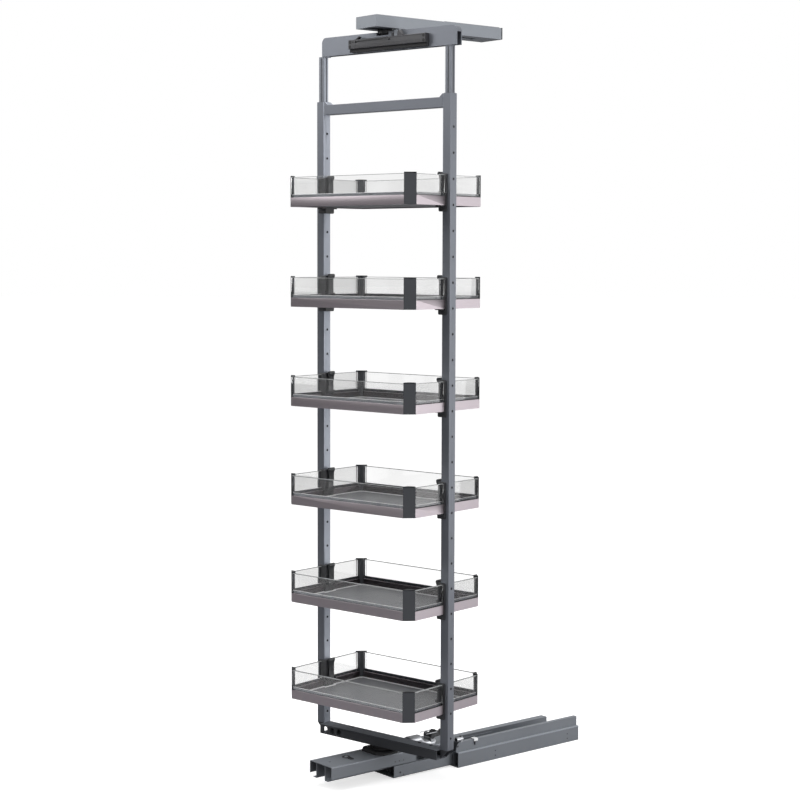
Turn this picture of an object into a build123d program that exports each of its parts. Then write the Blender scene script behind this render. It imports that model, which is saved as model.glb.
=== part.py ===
from build123d import *
import os

# Pull out pantry frame: a tall frame with six baskets that rolls out of a narrow
# cabinet on a floor rail and a top rail, and then swings on the rails.
# It stands as it is used, pulled out and swung a little to the left.
# Lengths are in millimetres and angles in degrees. The pieces are set out from the
# pivot axis at floor level: +X to the right, +Y into the cabinet, +Z up.
# The swinging frame is drawn square and then turned about the pivot.

# Whole frame
FRAME_ANGLE = 10.0
PIVOT_TO_BASE = 419.0
FRAME_WIDTH = 450.0
RUNNING_GAP = 0.3
FIT_GAP = 0.05
OVERRUN = 1.0

# Cabinet floor rail
CABINET_RAIL_HALF_WIDTH = 75.0
CABINET_RAIL_LENGTH = 450.0
CABINET_FLOOR_SHEET = 2.5
SIDE_BOX_WIDTH = 22.0
SIDE_BOX_HEIGHT = 40.0
SIDE_BOX_SHEET = 2.0
HIGH_RAIL_INSET = 8.0
HIGH_RAIL_WIDTH = 12.0
HIGH_RAIL_HEIGHT = 25.6
HIGH_RAIL_END_RADIUS = 16.0
BASE_SCREW_RADIUS = 2.75
BASE_SCREW_INSET = 25.0
SCREW_WINDOW_LENGTH = 24.0
SCREW_WINDOW_RADIUS = 6.0

# Catch socket on the higher cabinet rail
CATCH_RADIUS = 6.5
CATCH_WALL = 1.5
CATCH_LENGTH = 22.0
CATCH_DEPTH = 15.0
CATCH_SETBACK = 4.0
CATCH_EDGE = 0.8
CATCH_FOOT_HEIGHT = 3.0
CATCH_KNOB_RADIUS = 3.0
CATCH_KNOB_RISE = 2.0
CATCH_KNOB_BACK = 6.0

# Middle rail and its rollers
MIDDLE_RAIL_HALF_WIDTH = 51.0
MIDDLE_RAIL_HEIGHT = 31.2
MIDDLE_RAIL_LENGTH = 434.0
MIDDLE_RAIL_SHEET = 2.0
MIDDLE_TO_FRONT_END = 200.0
ROLLER_WIDTH = 10.0
ROLLER_AXLE_RADIUS = 3.0
ROLLER_HUB_RADIUS = 5.0
FIRST_ROLLER_FROM_END = 21.0
ROLLER_PITCH = 200.0

# Front rail
FRONT_RAIL_HALF_WIDTH = 46.0
FRONT_RAIL_LENGTH = 434.0
FRONT_RAIL_TO_PIVOT = 206.0
FRONT_RAIL_SHEET = 2.0
FRONT_RAIL_CORNER = 3.0
FRONT_RAIL_TOP_Z = 66.3
OUTER_LEG_HEIGHT = 31.8
INNER_LEG_HEIGHT = 40.3
INNER_LEG_HALF_SPACING = 18.0
TOP_HOLE_RADIUS = 3.0
TOP_HOLE_Y = -177.0
ADJUSTER_HOLE_RADIUS = 7.0
ADJUSTER_HOLE_X = -9.0
ADJUSTER_HOLE_Y = -117.0
SIDE_HOLE_RADIUS = 1.75
SIDE_HOLE_PITCH = 14.2
SIDE_HOLE_FIRST_Y = 2.0
SIDE_HOLE_DROP = 22.0
SIDE_SLOT_LENGTH = 38.0
SIDE_SLOT_HEIGHT = 14.0
SIDE_SLOT_Y = 91.0
SIDE_SLOT_DROP = 24.0

# Swivel base on the front rail
SWIVEL_PLATE_HALF_WIDTH = 44.0
SWIVEL_PLATE_NEAR = 50.0
SWIVEL_PLATE_FAR = 27.0
SWIVEL_PLATE_CORNER = 16.0
SWIVEL_PLATE_THICKNESS = 7.7
SWIVEL_PLATE_BEVEL = 3.0
TURNTABLE_RADIUS = 30.0
TURNTABLE_HEIGHT = 8.0
TURNTABLE_LIP = 3.0
TURNTABLE_GROOVE = 3.0
SWIVEL_PIN_RADIUS = 8.0
SWIVEL_PIN_RISE = 12.0
SWIVEL_PIN_BEVEL = 1.0

# Lock on the front rail
LOCK_INNER_X = 14.0
LOCK_OUTER_X = 44.0
LOCK_NEAR_Y = 50.0
LOCK_LENGTH = 100.0
LOCK_HEIGHT = 31.0
LOCK_TAIL_HEIGHT = 16.0
LOCK_TOP_LENGTH = 46.0
LOCK_NOSE_RADIUS = 9.0
LOCK_BROW_RADIUS = 12.0
LOCK_EAR_THICKNESS = 4.0
LOCK_EAR_RADIUS = 6.5
LOCK_PIN_RADIUS = 2.0
LOCK_PIN_Y = 132.0
LOCK_PIN_RISE = 24.0
STOP_RADIUS = 6.0
STOP_OFFSET = 31.0
STOP_DROP = 8.5
LEVER_BARREL_RADIUS = 4.5
LEVER_THICKNESS = 4.0
LEVER_REACH = 44.0
LEVER_RISE = 5.0
LEVER_SAG = 5.0
LEVER_TIP_RADIUS = 3.0
LEVER_THUMB_REACH = 17.0
LEVER_THUMB_RISE = 9.0

# Bottom crossbar
BAR_DEPTH = 40.0
BAR_HEIGHT = 25.0
BAR_WALL = 2.0
BAR_PAST_POST_FACE = 1.0
BAR_OVAL_LENGTH = 9.0
BAR_OVAL_WIDTH = 5.0
BAR_OVAL_SHARES = (-0.57, -0.37, 0.59, 0.78)
BAR_OVAL_Y = 4.5
BAR_WINDOW_WIDTH = 13.0
BAR_WINDOW_HEIGHT = 17.0
BAR_WINDOW_RADIUS = 6.0
BAR_WINDOW_PITCH = 24.0
BAR_WINDOW_INSET = 18.0
BAR_WINDOW_COUNT = 3

# Side posts and tie bar
POST_WIDTH = 25.0
POST_WALL = 2.0
POST_CORNER = 1.5
POST_LENGTH = 1648.0
HOLE_RADIUS = 2.5
HOLE_PITCH = 64.0
HOLE_COUNT = 25
FIRST_HOLE_ABOVE_BAR = 29.8
TIE_BAR_HEIGHT = 25.0
TIE_BAR_BELOW_POST_TOP = 9.0

# Telescopic tubes
TUBE_WIDTH = 20.0
TUBE_DEPTH = 15.0
TUBE_WALL = 1.8
TUBE_CORNER = 1.5
TUBE_GROOVE_WIDTH = 3.0
TUBE_GROOVE_DEPTH = 0.8
TUBE_IN_POST = 135.0
TUBE_OUT_OF_POST = 116.5
TUBE_FOOT_HEIGHT = 30.0
TUBE_CAP_HEIGHT = 2.0
TUBE_TONGUE_RISE = 20.0
TUBE_TONGUE_WIDTH = 14.0

# Upper crossbar
TOP_BAR_SHIFT = 16.0
TOP_BAR_LENGTH = FRAME_WIDTH
TOP_BAR_HEIGHT = 48.0
TOP_BAR_WALL = 2.4
TOP_BAR_CORNER = 14.0
TOP_BAR_END_BAND = 16.0
NOTCH_HALF_WIDTH = 20.0
NOTCH_DEPTH = 8.5
BOSS_HALF_WIDTH = 22.0
BOSS_HEIGHT = 11.0
PIVOT_PIN_RADIUS = 5.0
PIVOT_PIN_RISE = 12.0
KEEPER_X = 41.0
KEEPER_LENGTH = 20.0
KEEPER_DEPTH = 8.0
KEEPER_HEIGHT = 5.0
KEEPER_RADIUS = 3.5

# Damper on the upper crossbar
DAMPER_LEFT = -103.0
DAMPER_LENGTH = 256.0
DAMPER_DEPTH = 15.0
DAMPER_HEIGHT = 23.0
DAMPER_ABOVE_BAR_FOOT = 10.5
DAMPER_EDGE = 1.5
DAMPER_SKIRT_DEPTH = 9.0
DAMPER_SKIRT_HEIGHT = 8.0
DAMPER_SCREW_RADIUS = 2.2
DAMPER_SCREW_SINK = 3.0
DAMPER_SCREW_INSET = 6.0
DAMPER_SCREW_PITCH = 11.0
TRACK_LEFT = -80.0
TRACK_RIGHT = 36.0
TRACK_HEIGHT = 5.0
TRACK_SINK = 3.0
TRACK_BELOW_TOP = 4.0
HOOK_LENGTH = 22.0
HOOK_NIB_LENGTH = 6.0
HOOK_NIB_REACH = 3.0

# Top slide, its trolley and the fixed top rail
SLIDE_HALF_WIDTH = 41.5
SLIDE_HEIGHT = 30.0
SLIDE_WALL = 2.0
SLIDE_LENGTH = 426.0
SLIDE_TO_PIVOT = 61.0
SLIDE_TOP_SLOT = 18.0
SLIDE_FOOT_SLOT = 24.0
SLIDE_FOOT_SLOT_END = 300.0
SLIDE_ABOVE_TOP_BAR = 6.5
TOP_RAIL_NEAR_Y = 175.0
TOP_RAIL_LENGTH = 190.0
TOP_RAIL_PLATE_WIDTH = 60.0
TOP_RAIL_SHEET = 2.5
TOP_RAIL_STEM = 16.0
TOP_RAIL_GAP = 0.5
TOP_SCREW_RADIUS = 2.5
TOP_SCREW_SINK_RADIUS = 4.5
TOP_SCREW_SPACING_X = 42.0
TOP_SCREW_SPACING_Y = 150.0
TROLLEY_HALF_WIDTH = 18.0
TROLLEY_LENGTH = 88.0
TROLLEY_CORNER = 5.0
TROLLEY_WHEEL_PITCH = 60.0
TROLLEY_WHEEL_WIDTH = 10.0
TROLLEY_WHEEL_INNER_X = 22.0
TROLLEY_AXLE_RADIUS = 2.0
TROLLEY_NECK_RADIUS = 11.0
DISC_RADIUS = 19.0
DISC_HEIGHT = 12.2
DISC_EDGE = 1.5
DISC_BORE_DEPTH = 11.0

# Baskets
BASKET_COUNT = 6
HOLES_PER_BASKET = 4
FIRST_BASKET_HOLE = 2
BASKET_PAST_POST_FACE = 12.0
BASKET_DEPTH = 296.0
BASKET_CHAMFER = 22.0
RIM_HEIGHT = 23.0
RIM_WIDTH = 15.0
RIM_SHEET = 2.0
RIM_LIP = 1.5
CORNER_POST_HEIGHT = 78.0
CORNER_POST_WALL = 2.0
GLASS_THICKNESS = 5.0
GLASS_FOOT_Z = 15.0
GLASS_TOP_Z = 75.0
FLOOR_THICKNESS = 5.0
FLOOR_GAP = 0.2

# Basket clips and finger levers
CLIP_HEIGHT_ABOVE = 79.0
CLIP_HEIGHT_BELOW = 15.0
CLIP_BACK = 9.5
CLIP_CHEEK = 3.2
CLIP_REACH = 16.0
CLIP_CORNER = 4.0
CLIP_WING_WIDTH = 12.0
CLIP_WING_THICKNESS = 3.0
CLIP_WING_INSET = 3.0
EAR_INNER_Y = 10.0
EAR_THICKNESS = 3.0
EAR_RADIUS = 4.3
HINGE_INSET = 4.8
HINGE_Z = 30.0
HINGE_PIN_RADIUS = 1.5
FINGER_BARREL_RADIUS = 3.4
FINGER_THICKNESS = 2.6
FINGER_TOP_Z = 79.0
FINGER_TOP_INSET = 12.0
FINGER_WAIST_Z = 57.0
FINGER_WAIST_INSET = 4.6
FINGER_BULGE = 1.6
FINGER_ROLL_RADIUS = 2.4
FINGER_FOOT_HALF_WIDTH = 9.6
FINGER_WAIST_HALF_WIDTH = 8.5
FINGER_TOP_HALF_WIDTH = 12.0
LATCH_PIN_RADIUS = 2.0
LATCH_PIN_Z = 65.0
LATCH_HOLE_RADIUS = 4.5

# Heights that follow from the sizes above
MIDDLE_RAIL_FOOT_Z = CABINET_FLOOR_SHEET + RUNNING_GAP
BAR_FOOT_Z = FRONT_RAIL_TOP_Z + SWIVEL_PLATE_THICKNESS + TURNTABLE_HEIGHT
POST_FOOT_Z = BAR_FOOT_Z + BAR_HEIGHT
POST_TOP_Z = POST_FOOT_Z + POST_LENGTH
TIE_BAR_TOP_Z = POST_TOP_Z - TIE_BAR_BELOW_POST_TOP
TOP_BAR_FOOT_Z = POST_TOP_Z + TUBE_OUT_OF_POST
TOP_BAR_TOP_Z = TOP_BAR_FOOT_Z + TOP_BAR_HEIGHT
SLIDE_FOOT_Z = TOP_BAR_TOP_Z + SLIDE_ABOVE_TOP_BAR
SLIDE_TOP_Z = SLIDE_FOOT_Z + SLIDE_HEIGHT
FIRST_HOLE_Z = POST_FOOT_Z + FIRST_HOLE_ABOVE_BAR

# Places that follow from the sizes above
POST_X = (FRAME_WIDTH - POST_WIDTH) / 2
POST_INNER_X = POST_X - POST_WIDTH / 2
CABINET_RAIL_NEAR_Y = PIVOT_TO_BASE - CABINET_RAIL_LENGTH / 2
BASE_SCREW_X = CABINET_RAIL_HALF_WIDTH - SIDE_BOX_WIDTH / 2
BASE_SCREW_HALF_SPACING_Y = CABINET_RAIL_LENGTH / 2 - BASE_SCREW_INSET
HIGH_RAIL_OUTER_X = CABINET_RAIL_HALF_WIDTH - HIGH_RAIL_INSET
FRONT_RAIL_Y = (-FRONT_RAIL_TO_PIVOT, FRONT_RAIL_LENGTH - FRONT_RAIL_TO_PIVOT)
MIDDLE_RAIL_NEAR_Y = MIDDLE_TO_FRONT_END - FRONT_RAIL_TO_PIVOT
TOP_BAR_X = (TOP_BAR_SHIFT - TOP_BAR_LENGTH / 2, TOP_BAR_SHIFT + TOP_BAR_LENGTH / 2)
TOP_BAR_CAVITY_HALF = TUBE_DEPTH / 2 + FIT_GAP
TOP_BAR_HALF_DEPTH = TOP_BAR_CAVITY_HALF + TOP_BAR_WALL
BAR_HALF_LENGTH = POST_INNER_X + BAR_PAST_POST_FACE
BASKET_HALF_LENGTH = POST_INNER_X + BASKET_PAST_POST_FACE
BASKET_HALF_DEPTH = BASKET_DEPTH / 2
CLIP_FACE_X = POST_INNER_X - CLIP_BACK
CLIP_HALF_WIDTH = POST_WIDTH / 2 + RUNNING_GAP + CLIP_CHEEK


def run_along_x(outline, x):
    """Runs an outline drawn in Y and Z between two places along X."""
    return extrude(Plane.YZ.offset(x[0]) * outline, amount=x[1] - x[0])


def run_along_y(outline, y):
    """Runs an outline drawn in X and Z between two places along Y."""
    return extrude(Plane.XZ.offset(-y[0]) * outline, amount=y[1] - y[0], dir=(0, 1, 0))


def run_along_z(outline, z):
    """Runs an outline drawn in X and Y between two heights."""
    return extrude(Plane.XY.offset(z[0]) * outline, amount=z[1] - z[0])


def window(across, up):
    """A rectangle between the low and high ends given for both directions."""
    middle = Pos((across[0] + across[1]) / 2, (up[0] + up[1]) / 2)
    return middle * Rectangle(across[1] - across[0], up[1] - up[0])


def bar(x, y, z):
    """A block between the low and high ends given for each direction."""
    return run_along_z(window(x, y), z)


def disc(radius, across, up):
    """A round outline about a centre."""
    return Pos(across, up) * Circle(radius)


def straight_outline(points):
    """A face with straight sides through the points."""
    return make_face(Polyline(*points, close=True))


def round_corners(outline, radius, keep):
    """Rounds the corners of an outline that the keep rule picks."""
    return fillet([corner for corner in outline.vertices() if keep(corner)], radius)


def both_ways(half):
    """The two ends of a length that is centred on zero."""
    return (-half, half)


def together(pieces):
    """Keeps separate solids as one group."""
    solids = [solid for piece in pieces for solid in piece.solids()]
    return Compound(solids)


def fused(pieces):
    """Joins overlapping solids into one."""
    whole = pieces[0]
    for piece in pieces[1:]:
        whole = whole + piece
    return whole


def cabinet_rail():
    """Floor rail with two box sections and one higher rail on the right."""
    near = CABINET_RAIL_NEAR_Y
    far = near + CABINET_RAIL_LENGTH
    outer = CABINET_RAIL_HALF_WIDTH
    inner = outer - SIDE_BOX_WIDTH
    section = window(both_ways(outer), (0, CABINET_FLOOR_SHEET))
    for side in (-1, 1):
        across = sorted((side * inner, side * outer))
        hollow = (across[0] + SIDE_BOX_SHEET, across[1] - SIDE_BOX_SHEET)
        section += window(across, (0, SIDE_BOX_HEIGHT))
        section -= window(hollow, (CABINET_FLOOR_SHEET, SIDE_BOX_HEIGHT - SIDE_BOX_SHEET))
    rail = run_along_y(section, (near, far)) + high_rail(near, far)
    middle_z = (CABINET_FLOOR_SHEET + SIDE_BOX_HEIGHT - SIDE_BOX_SHEET) / 2
    for end in (-1, 1):
        y = PIVOT_TO_BASE + end * BASE_SCREW_HALF_SPACING_Y
        slot = Pos(y, middle_z) * SlotOverall(SCREW_WINDOW_LENGTH, 2 * SCREW_WINDOW_RADIUS)
        for side in (-1, 1):
            hole = disc(BASE_SCREW_RADIUS, side * BASE_SCREW_X, y)
            wall = sorted((side * (inner - OVERRUN), side * (inner + SIDE_BOX_SHEET + OVERRUN)))
            rail -= run_along_z(hole, (-OVERRUN, CABINET_FLOOR_SHEET + OVERRUN))
            rail -= run_along_x(slot, wall)
    return rail


def high_rail(near, far):
    """Channel on the right box section, rounded at its near end and open to the inside."""
    foot = SIDE_BOX_HEIGHT
    top = foot + HIGH_RAIL_HEIGHT
    inner = HIGH_RAIL_OUTER_X - HIGH_RAIL_WIDTH
    section = window((inner, HIGH_RAIL_OUTER_X), (foot, top))
    section -= window((inner, HIGH_RAIL_OUTER_X - SIDE_BOX_SHEET),
                      (foot + SIDE_BOX_SHEET, top - SIDE_BOX_SHEET))
    side = window((near, far), (foot, top))
    side = round_corners(side, HIGH_RAIL_END_RADIUS, lambda c: c.X < near + OVERRUN and c.Y > foot + OVERRUN)
    return run_along_y(section, (near, far)) & run_along_x(side, (inner, HIGH_RAIL_OUTER_X))


def rail_catch():
    """Tubular catch socket on top of the higher rail, open at its near end, with a small knob."""
    x = HIGH_RAIL_OUTER_X - HIGH_RAIL_WIDTH / 2
    rail_top = SIDE_BOX_HEIGHT + HIGH_RAIL_HEIGHT
    z = rail_top + CATCH_RADIUS
    near = CABINET_RAIL_NEAR_Y + CATCH_SETBACK
    far = near + CATCH_LENGTH
    barrel = run_along_y(disc(CATCH_RADIUS, x, z), (near, far))
    barrel = chamfer(barrel.edges().filter_by(GeomType.CIRCLE), CATCH_EDGE)
    foot = bar((x - HIGH_RAIL_WIDTH / 2, x + HIGH_RAIL_WIDTH / 2),
               (CABINET_RAIL_NEAR_Y + HIGH_RAIL_END_RADIUS, far - CATCH_EDGE),
               (rail_top, rail_top + CATCH_FOOT_HEIGHT))
    knob_y = far - CATCH_KNOB_BACK
    knob = run_along_z(disc(CATCH_KNOB_RADIUS, x, knob_y), (z, z + CATCH_RADIUS + CATCH_KNOB_RISE))
    bore = run_along_y(disc(CATCH_RADIUS - CATCH_WALL, x, z), (near - OVERRUN, near + CATCH_DEPTH))
    return fused([barrel, foot, knob]) - bore


def middle_rail():
    """Channel that travels half as far as the frame."""
    foot = MIDDLE_RAIL_FOOT_Z
    top = foot + MIDDLE_RAIL_HEIGHT
    wall = MIDDLE_RAIL_SHEET
    half = MIDDLE_RAIL_HALF_WIDTH
    section = window(both_ways(half), (foot, top))
    section = round_corners(section, FRONT_RAIL_CORNER, lambda c: c.Y < foot + OVERRUN)
    section -= window(both_ways(half - wall), (foot + wall, top + OVERRUN))
    return run_along_y(section, (MIDDLE_RAIL_NEAR_Y, MIDDLE_RAIL_NEAR_Y + MIDDLE_RAIL_LENGTH))


def middle_rollers():
    """Two axles across the middle rail, each with a pair of rollers for the front rail."""
    floor = MIDDLE_RAIL_FOOT_Z + MIDDLE_RAIL_SHEET
    room = FRONT_RAIL_TOP_Z - INNER_LEG_HEIGHT - floor
    radius = room / 2 - RUNNING_GAP
    z = floor + room / 2
    inner_wall = MIDDLE_RAIL_HALF_WIDTH - MIDDLE_RAIL_SHEET
    sets = []
    for place in range(2):
        y = MIDDLE_RAIL_NEAR_Y + FIRST_ROLLER_FROM_END + place * ROLLER_PITCH
        axle = run_along_x(disc(ROLLER_AXLE_RADIUS, y, z), both_ways(inner_wall))
        hub = run_along_x(disc(ROLLER_HUB_RADIUS, y, z), both_ways(INNER_LEG_HALF_SPACING))
        rollers = [axle, hub]
        for side in (-1, 1):
            middle = side * INNER_LEG_HALF_SPACING
            span = (middle - ROLLER_WIDTH / 2, middle + ROLLER_WIDTH / 2)
            rollers.append(run_along_x(disc(radius, y, z), span))
        sets.append(fused(rollers))
    return together(sets)


def front_rail():
    """Rail with four legs under a flat top, like a letter m with one more leg."""
    top = FRONT_RAIL_TOP_Z
    half = FRONT_RAIL_HALF_WIDTH
    sheet = FRONT_RAIL_SHEET
    section = window(both_ways(half), (top - OUTER_LEG_HEIGHT, top))
    section = round_corners(section, FRONT_RAIL_CORNER, lambda c: c.Y > top - OVERRUN)
    section -= window(both_ways(half - sheet), (top - OUTER_LEG_HEIGHT - OVERRUN, top - sheet))
    for side in (-1, 1):
        middle = side * INNER_LEG_HALF_SPACING
        section += window((middle - sheet / 2, middle + sheet / 2), (top - INNER_LEG_HEIGHT, top - sheet))
    rail = run_along_y(section, FRONT_RAIL_Y)
    through_top = (top - sheet - OVERRUN, top + OVERRUN)
    rail -= run_along_z(disc(TOP_HOLE_RADIUS, 0, TOP_HOLE_Y), through_top)
    rail -= run_along_z(disc(ADJUSTER_HOLE_RADIUS, ADJUSTER_HOLE_X, ADJUSTER_HOLE_Y), through_top)
    through_side = (half - sheet - OVERRUN, half + OVERRUN)
    for place in range(3):
        y = SIDE_HOLE_FIRST_Y + place * SIDE_HOLE_PITCH
        rail -= run_along_x(disc(SIDE_HOLE_RADIUS, y, top - SIDE_HOLE_DROP), through_side)
    slot = Pos(SIDE_SLOT_Y, top - SIDE_SLOT_DROP) * SlotOverall(SIDE_SLOT_LENGTH, SIDE_SLOT_HEIGHT)
    return rail - run_along_x(slot, through_side)


def swivel_base():
    """Bevelled plate with a grooved turntable and the lower pivot pin."""
    plate_top = FRONT_RAIL_TOP_Z + SWIVEL_PLATE_THICKNESS
    outline = window(both_ways(SWIVEL_PLATE_HALF_WIDTH), (-SWIVEL_PLATE_NEAR, SWIVEL_PLATE_FAR))
    outline = chamfer(outline.vertices(), SWIVEL_PLATE_CORNER)
    plate = run_along_z(outline, (FRONT_RAIL_TOP_Z, plate_top))
    plate = chamfer(plate.faces().sort_by(Axis.Z)[-1].edges(), SWIVEL_PLATE_BEVEL)
    radius = TURNTABLE_RADIUS
    groove = (TURNTABLE_HEIGHT - TURNTABLE_GROOVE) / 2
    pin_top = BAR_FOOT_Z + SWIVEL_PIN_RISE
    profile = straight_outline([
        (0, plate_top), (radius, plate_top), (radius, plate_top + groove),
        (radius - TURNTABLE_LIP, plate_top + groove),
        (radius - TURNTABLE_LIP, BAR_FOOT_Z - groove), (radius, BAR_FOOT_Z - groove),
        (radius, BAR_FOOT_Z), (SWIVEL_PIN_RADIUS, BAR_FOOT_Z),
        (SWIVEL_PIN_RADIUS, pin_top - SWIVEL_PIN_BEVEL),
        (SWIVEL_PIN_RADIUS - SWIVEL_PIN_BEVEL, pin_top), (0, pin_top)])
    return plate + revolve(Plane.XZ * profile, Axis.Z)


def lock_housing():
    """Hooded housing with two ears for the lever and a rubber stop for the crossbar."""
    foot = FRONT_RAIL_TOP_Z
    top = foot + LOCK_HEIGHT
    near = LOCK_NEAR_Y
    far = near + LOCK_LENGTH
    tail = foot + LOCK_TAIL_HEIGHT
    slope_end = near + LOCK_TOP_LENGTH + LOCK_HEIGHT - LOCK_TAIL_HEIGHT
    side = straight_outline([(near, foot), (near, top), (near + LOCK_TOP_LENGTH, top),
                             (slope_end, tail), (far, tail), (far, foot)])
    side = round_corners(side, LOCK_NOSE_RADIUS, lambda c: c.Y > foot + OVERRUN)
    body = run_along_x(side, (LOCK_INNER_X, LOCK_OUTER_X))
    body = fillet(body.edges().filter_by(GeomType.LINE).filter_by(Axis.Z).sort_by(Axis.Y)[:2],
                  LOCK_BROW_RADIUS)
    pin_z = foot + LOCK_PIN_RISE
    ears = disc(LOCK_EAR_RADIUS, LOCK_PIN_Y, pin_z)
    ears += window((LOCK_PIN_Y - LOCK_EAR_RADIUS, LOCK_PIN_Y + LOCK_EAR_RADIUS),
                   (foot + LOCK_TAIL_HEIGHT / 2, pin_z))
    ears -= disc(LOCK_PIN_RADIUS + FIT_GAP, LOCK_PIN_Y, pin_z)
    for x in (LOCK_INNER_X, LOCK_OUTER_X - LOCK_EAR_THICKNESS):
        body += run_along_x(ears, (x, x + LOCK_EAR_THICKNESS))
    return body + lock_stop(top - STOP_DROP)


def lock_stop(z):
    """Rubber stop that the far side of the swung crossbar rests against."""
    reach = (POST_WIDTH / 2 + RUNNING_GAP, LOCK_NEAR_Y + LOCK_BROW_RADIUS)
    stop = run_along_y(disc(STOP_RADIUS, STOP_OFFSET, z), reach)
    return Rot(0, 0, FRAME_ANGLE) * stop


def lock_lever():
    """Sprung release lever between the ears of the lock housing."""
    y = LOCK_PIN_Y
    z = FRONT_RAIL_TOP_Z + LOCK_PIN_RISE
    tip = (y + LEVER_REACH, z + LEVER_RISE)
    middle = (y + LEVER_REACH / 2, z + LEVER_RISE / 2 - LEVER_SAG)
    blade = trace(ThreePointArc((y, z), middle, tip), LEVER_THICKNESS)
    thumb = (y + LEVER_THUMB_REACH, z + LEVER_THUMB_RISE)
    side = blade + disc(LEVER_BARREL_RADIUS, y, z) + disc(LEVER_TIP_RADIUS, *tip)
    side += trace(Line((y, z), thumb), LEVER_THICKNESS) + disc(LEVER_TIP_RADIUS, *thumb)
    inner = LOCK_INNER_X + LOCK_EAR_THICKNESS + RUNNING_GAP
    outer = LOCK_OUTER_X - LOCK_EAR_THICKNESS - RUNNING_GAP
    return run_along_x(side, (inner, outer)) + run_along_x(disc(LOCK_PIN_RADIUS, y, z),
                                                           (LOCK_INNER_X, LOCK_OUTER_X))


def bottom_crossbar():
    """Flat tube with a narrower mitred stub under each post."""
    foot = BAR_FOOT_Z
    top = POST_FOOT_Z
    far = POST_WIDTH / 2
    near = far - BAR_DEPTH
    inside = (foot + BAR_WALL, top - BAR_WALL)
    section = window((near, far), (foot, top)) - window((near + BAR_WALL, far - BAR_WALL), inside)
    crossbar = run_along_x(section, both_ways(BAR_HALF_LENGTH))
    for side in (-1, 1):
        root = side * BAR_HALF_LENGTH
        tip = side * FRAME_WIDTH / 2
        wedge = straight_outline([(root, foot), (tip, top), (root, top)])
        stub = run_along_y(wedge, both_ways(far))
        mouth = sorted((root - side * OVERRUN, tip + side * OVERRUN))
        crossbar += stub - bar(mouth, both_ways(far - BAR_WALL), inside)
    through_top = (top - BAR_WALL - OVERRUN, top + OVERRUN)
    for share in BAR_OVAL_SHARES:
        oval = Pos(share * POST_INNER_X, BAR_OVAL_Y) * SlotOverall(BAR_OVAL_LENGTH, BAR_OVAL_WIDTH)
        crossbar -= run_along_z(oval, through_top)
    for place in range(BAR_WINDOW_COUNT):
        x = BAR_WINDOW_INSET - POST_INNER_X + place * BAR_WINDOW_PITCH
        hole = RectangleRounded(BAR_WINDOW_WIDTH, BAR_WINDOW_HEIGHT, BAR_WINDOW_RADIUS)
        hole = Pos(x, (foot + top) / 2) * hole
        crossbar -= run_along_y(hole, (near - OVERRUN, near + BAR_WALL + OVERRUN))
    pin_hole = disc(SWIVEL_PIN_RADIUS + FIT_GAP, 0, 0)
    return crossbar - run_along_z(pin_hole, (foot - OVERRUN, foot + BAR_WALL + OVERRUN))


def side_posts():
    """Two square tubes with the rows of holes that the baskets latch into."""
    section = RectangleRounded(POST_WIDTH, POST_WIDTH, POST_CORNER)
    section -= Rectangle(POST_WIDTH - 2 * POST_WALL, POST_WIDTH - 2 * POST_WALL)
    tube = run_along_z(section, (POST_FOOT_Z, POST_TOP_Z))
    across = both_ways(POST_WIDTH / 2 + OVERRUN)
    holes = [run_along_x(disc(HOLE_RADIUS, 0, FIRST_HOLE_Z + place * HOLE_PITCH), across)
             for place in range(HOLE_COUNT)]
    post = tube - holes
    return together([Pos(side * POST_X, 0, 0) * post for side in (-1, 1)])


def tie_bar():
    """Square tube between the posts, a little below their tops."""
    half = POST_WIDTH / 2
    z = (TIE_BAR_TOP_Z - TIE_BAR_HEIGHT, TIE_BAR_TOP_Z)
    section = window(both_ways(half), z)
    section -= window(both_ways(half - POST_WALL), (z[0] + POST_WALL, z[1] - POST_WALL))
    return run_along_x(section, both_ways(POST_INNER_X))


def upper_tubes():
    """Two grooved tubes that slide in the posts and carry the upper crossbar."""
    foot = POST_TOP_Z - TUBE_IN_POST
    cap = TOP_BAR_FOOT_Z - TUBE_CAP_HEIGHT
    half = (TUBE_WIDTH / 2, TUBE_DEPTH / 2)
    groove = TUBE_GROOVE_WIDTH / 2
    section = RectangleRounded(TUBE_WIDTH, TUBE_DEPTH, TUBE_CORNER)
    inside = (half[0] - TUBE_WALL, half[1] - TUBE_WALL)
    section -= window(both_ways(inside[0]), both_ways(inside[1]))
    for side in (-1, 1):
        ends = sorted((side * (half[1] - TUBE_GROOVE_DEPTH), side * (half[1] + OVERRUN)))
        section -= window(both_ways(groove), ends)
        ends = sorted((side * (half[0] - TUBE_GROOVE_DEPTH), side * (half[0] + OVERRUN)))
        section -= window(ends, both_ways(groove))
    plug = POST_WIDTH / 2 - POST_WALL - 2 * FIT_GAP
    foot_ring = window(both_ways(plug), both_ways(plug)) - window(both_ways(inside[0]), both_ways(inside[1]))
    tube = run_along_z(section, (foot, cap))
    tube += run_along_z(foot_ring, (foot, foot + TUBE_FOOT_HEIGHT))
    tube += run_along_z(RectangleRounded(TUBE_WIDTH, TUBE_DEPTH, TUBE_CORNER), (cap, TOP_BAR_FOOT_Z))
    tubes = []
    for side in (-1, 1):
        low = max(side * POST_X - half[0], TOP_BAR_X[0] + TOP_BAR_WALL + FIT_GAP)
        tongue = bar((low, low + TUBE_TONGUE_WIDTH), both_ways(half[1]),
                     (cap, TOP_BAR_FOOT_Z + TUBE_TONGUE_RISE))
        tubes.append(Pos(side * POST_X, 0, 0) * tube + tongue)
    return together(tubes)


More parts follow.
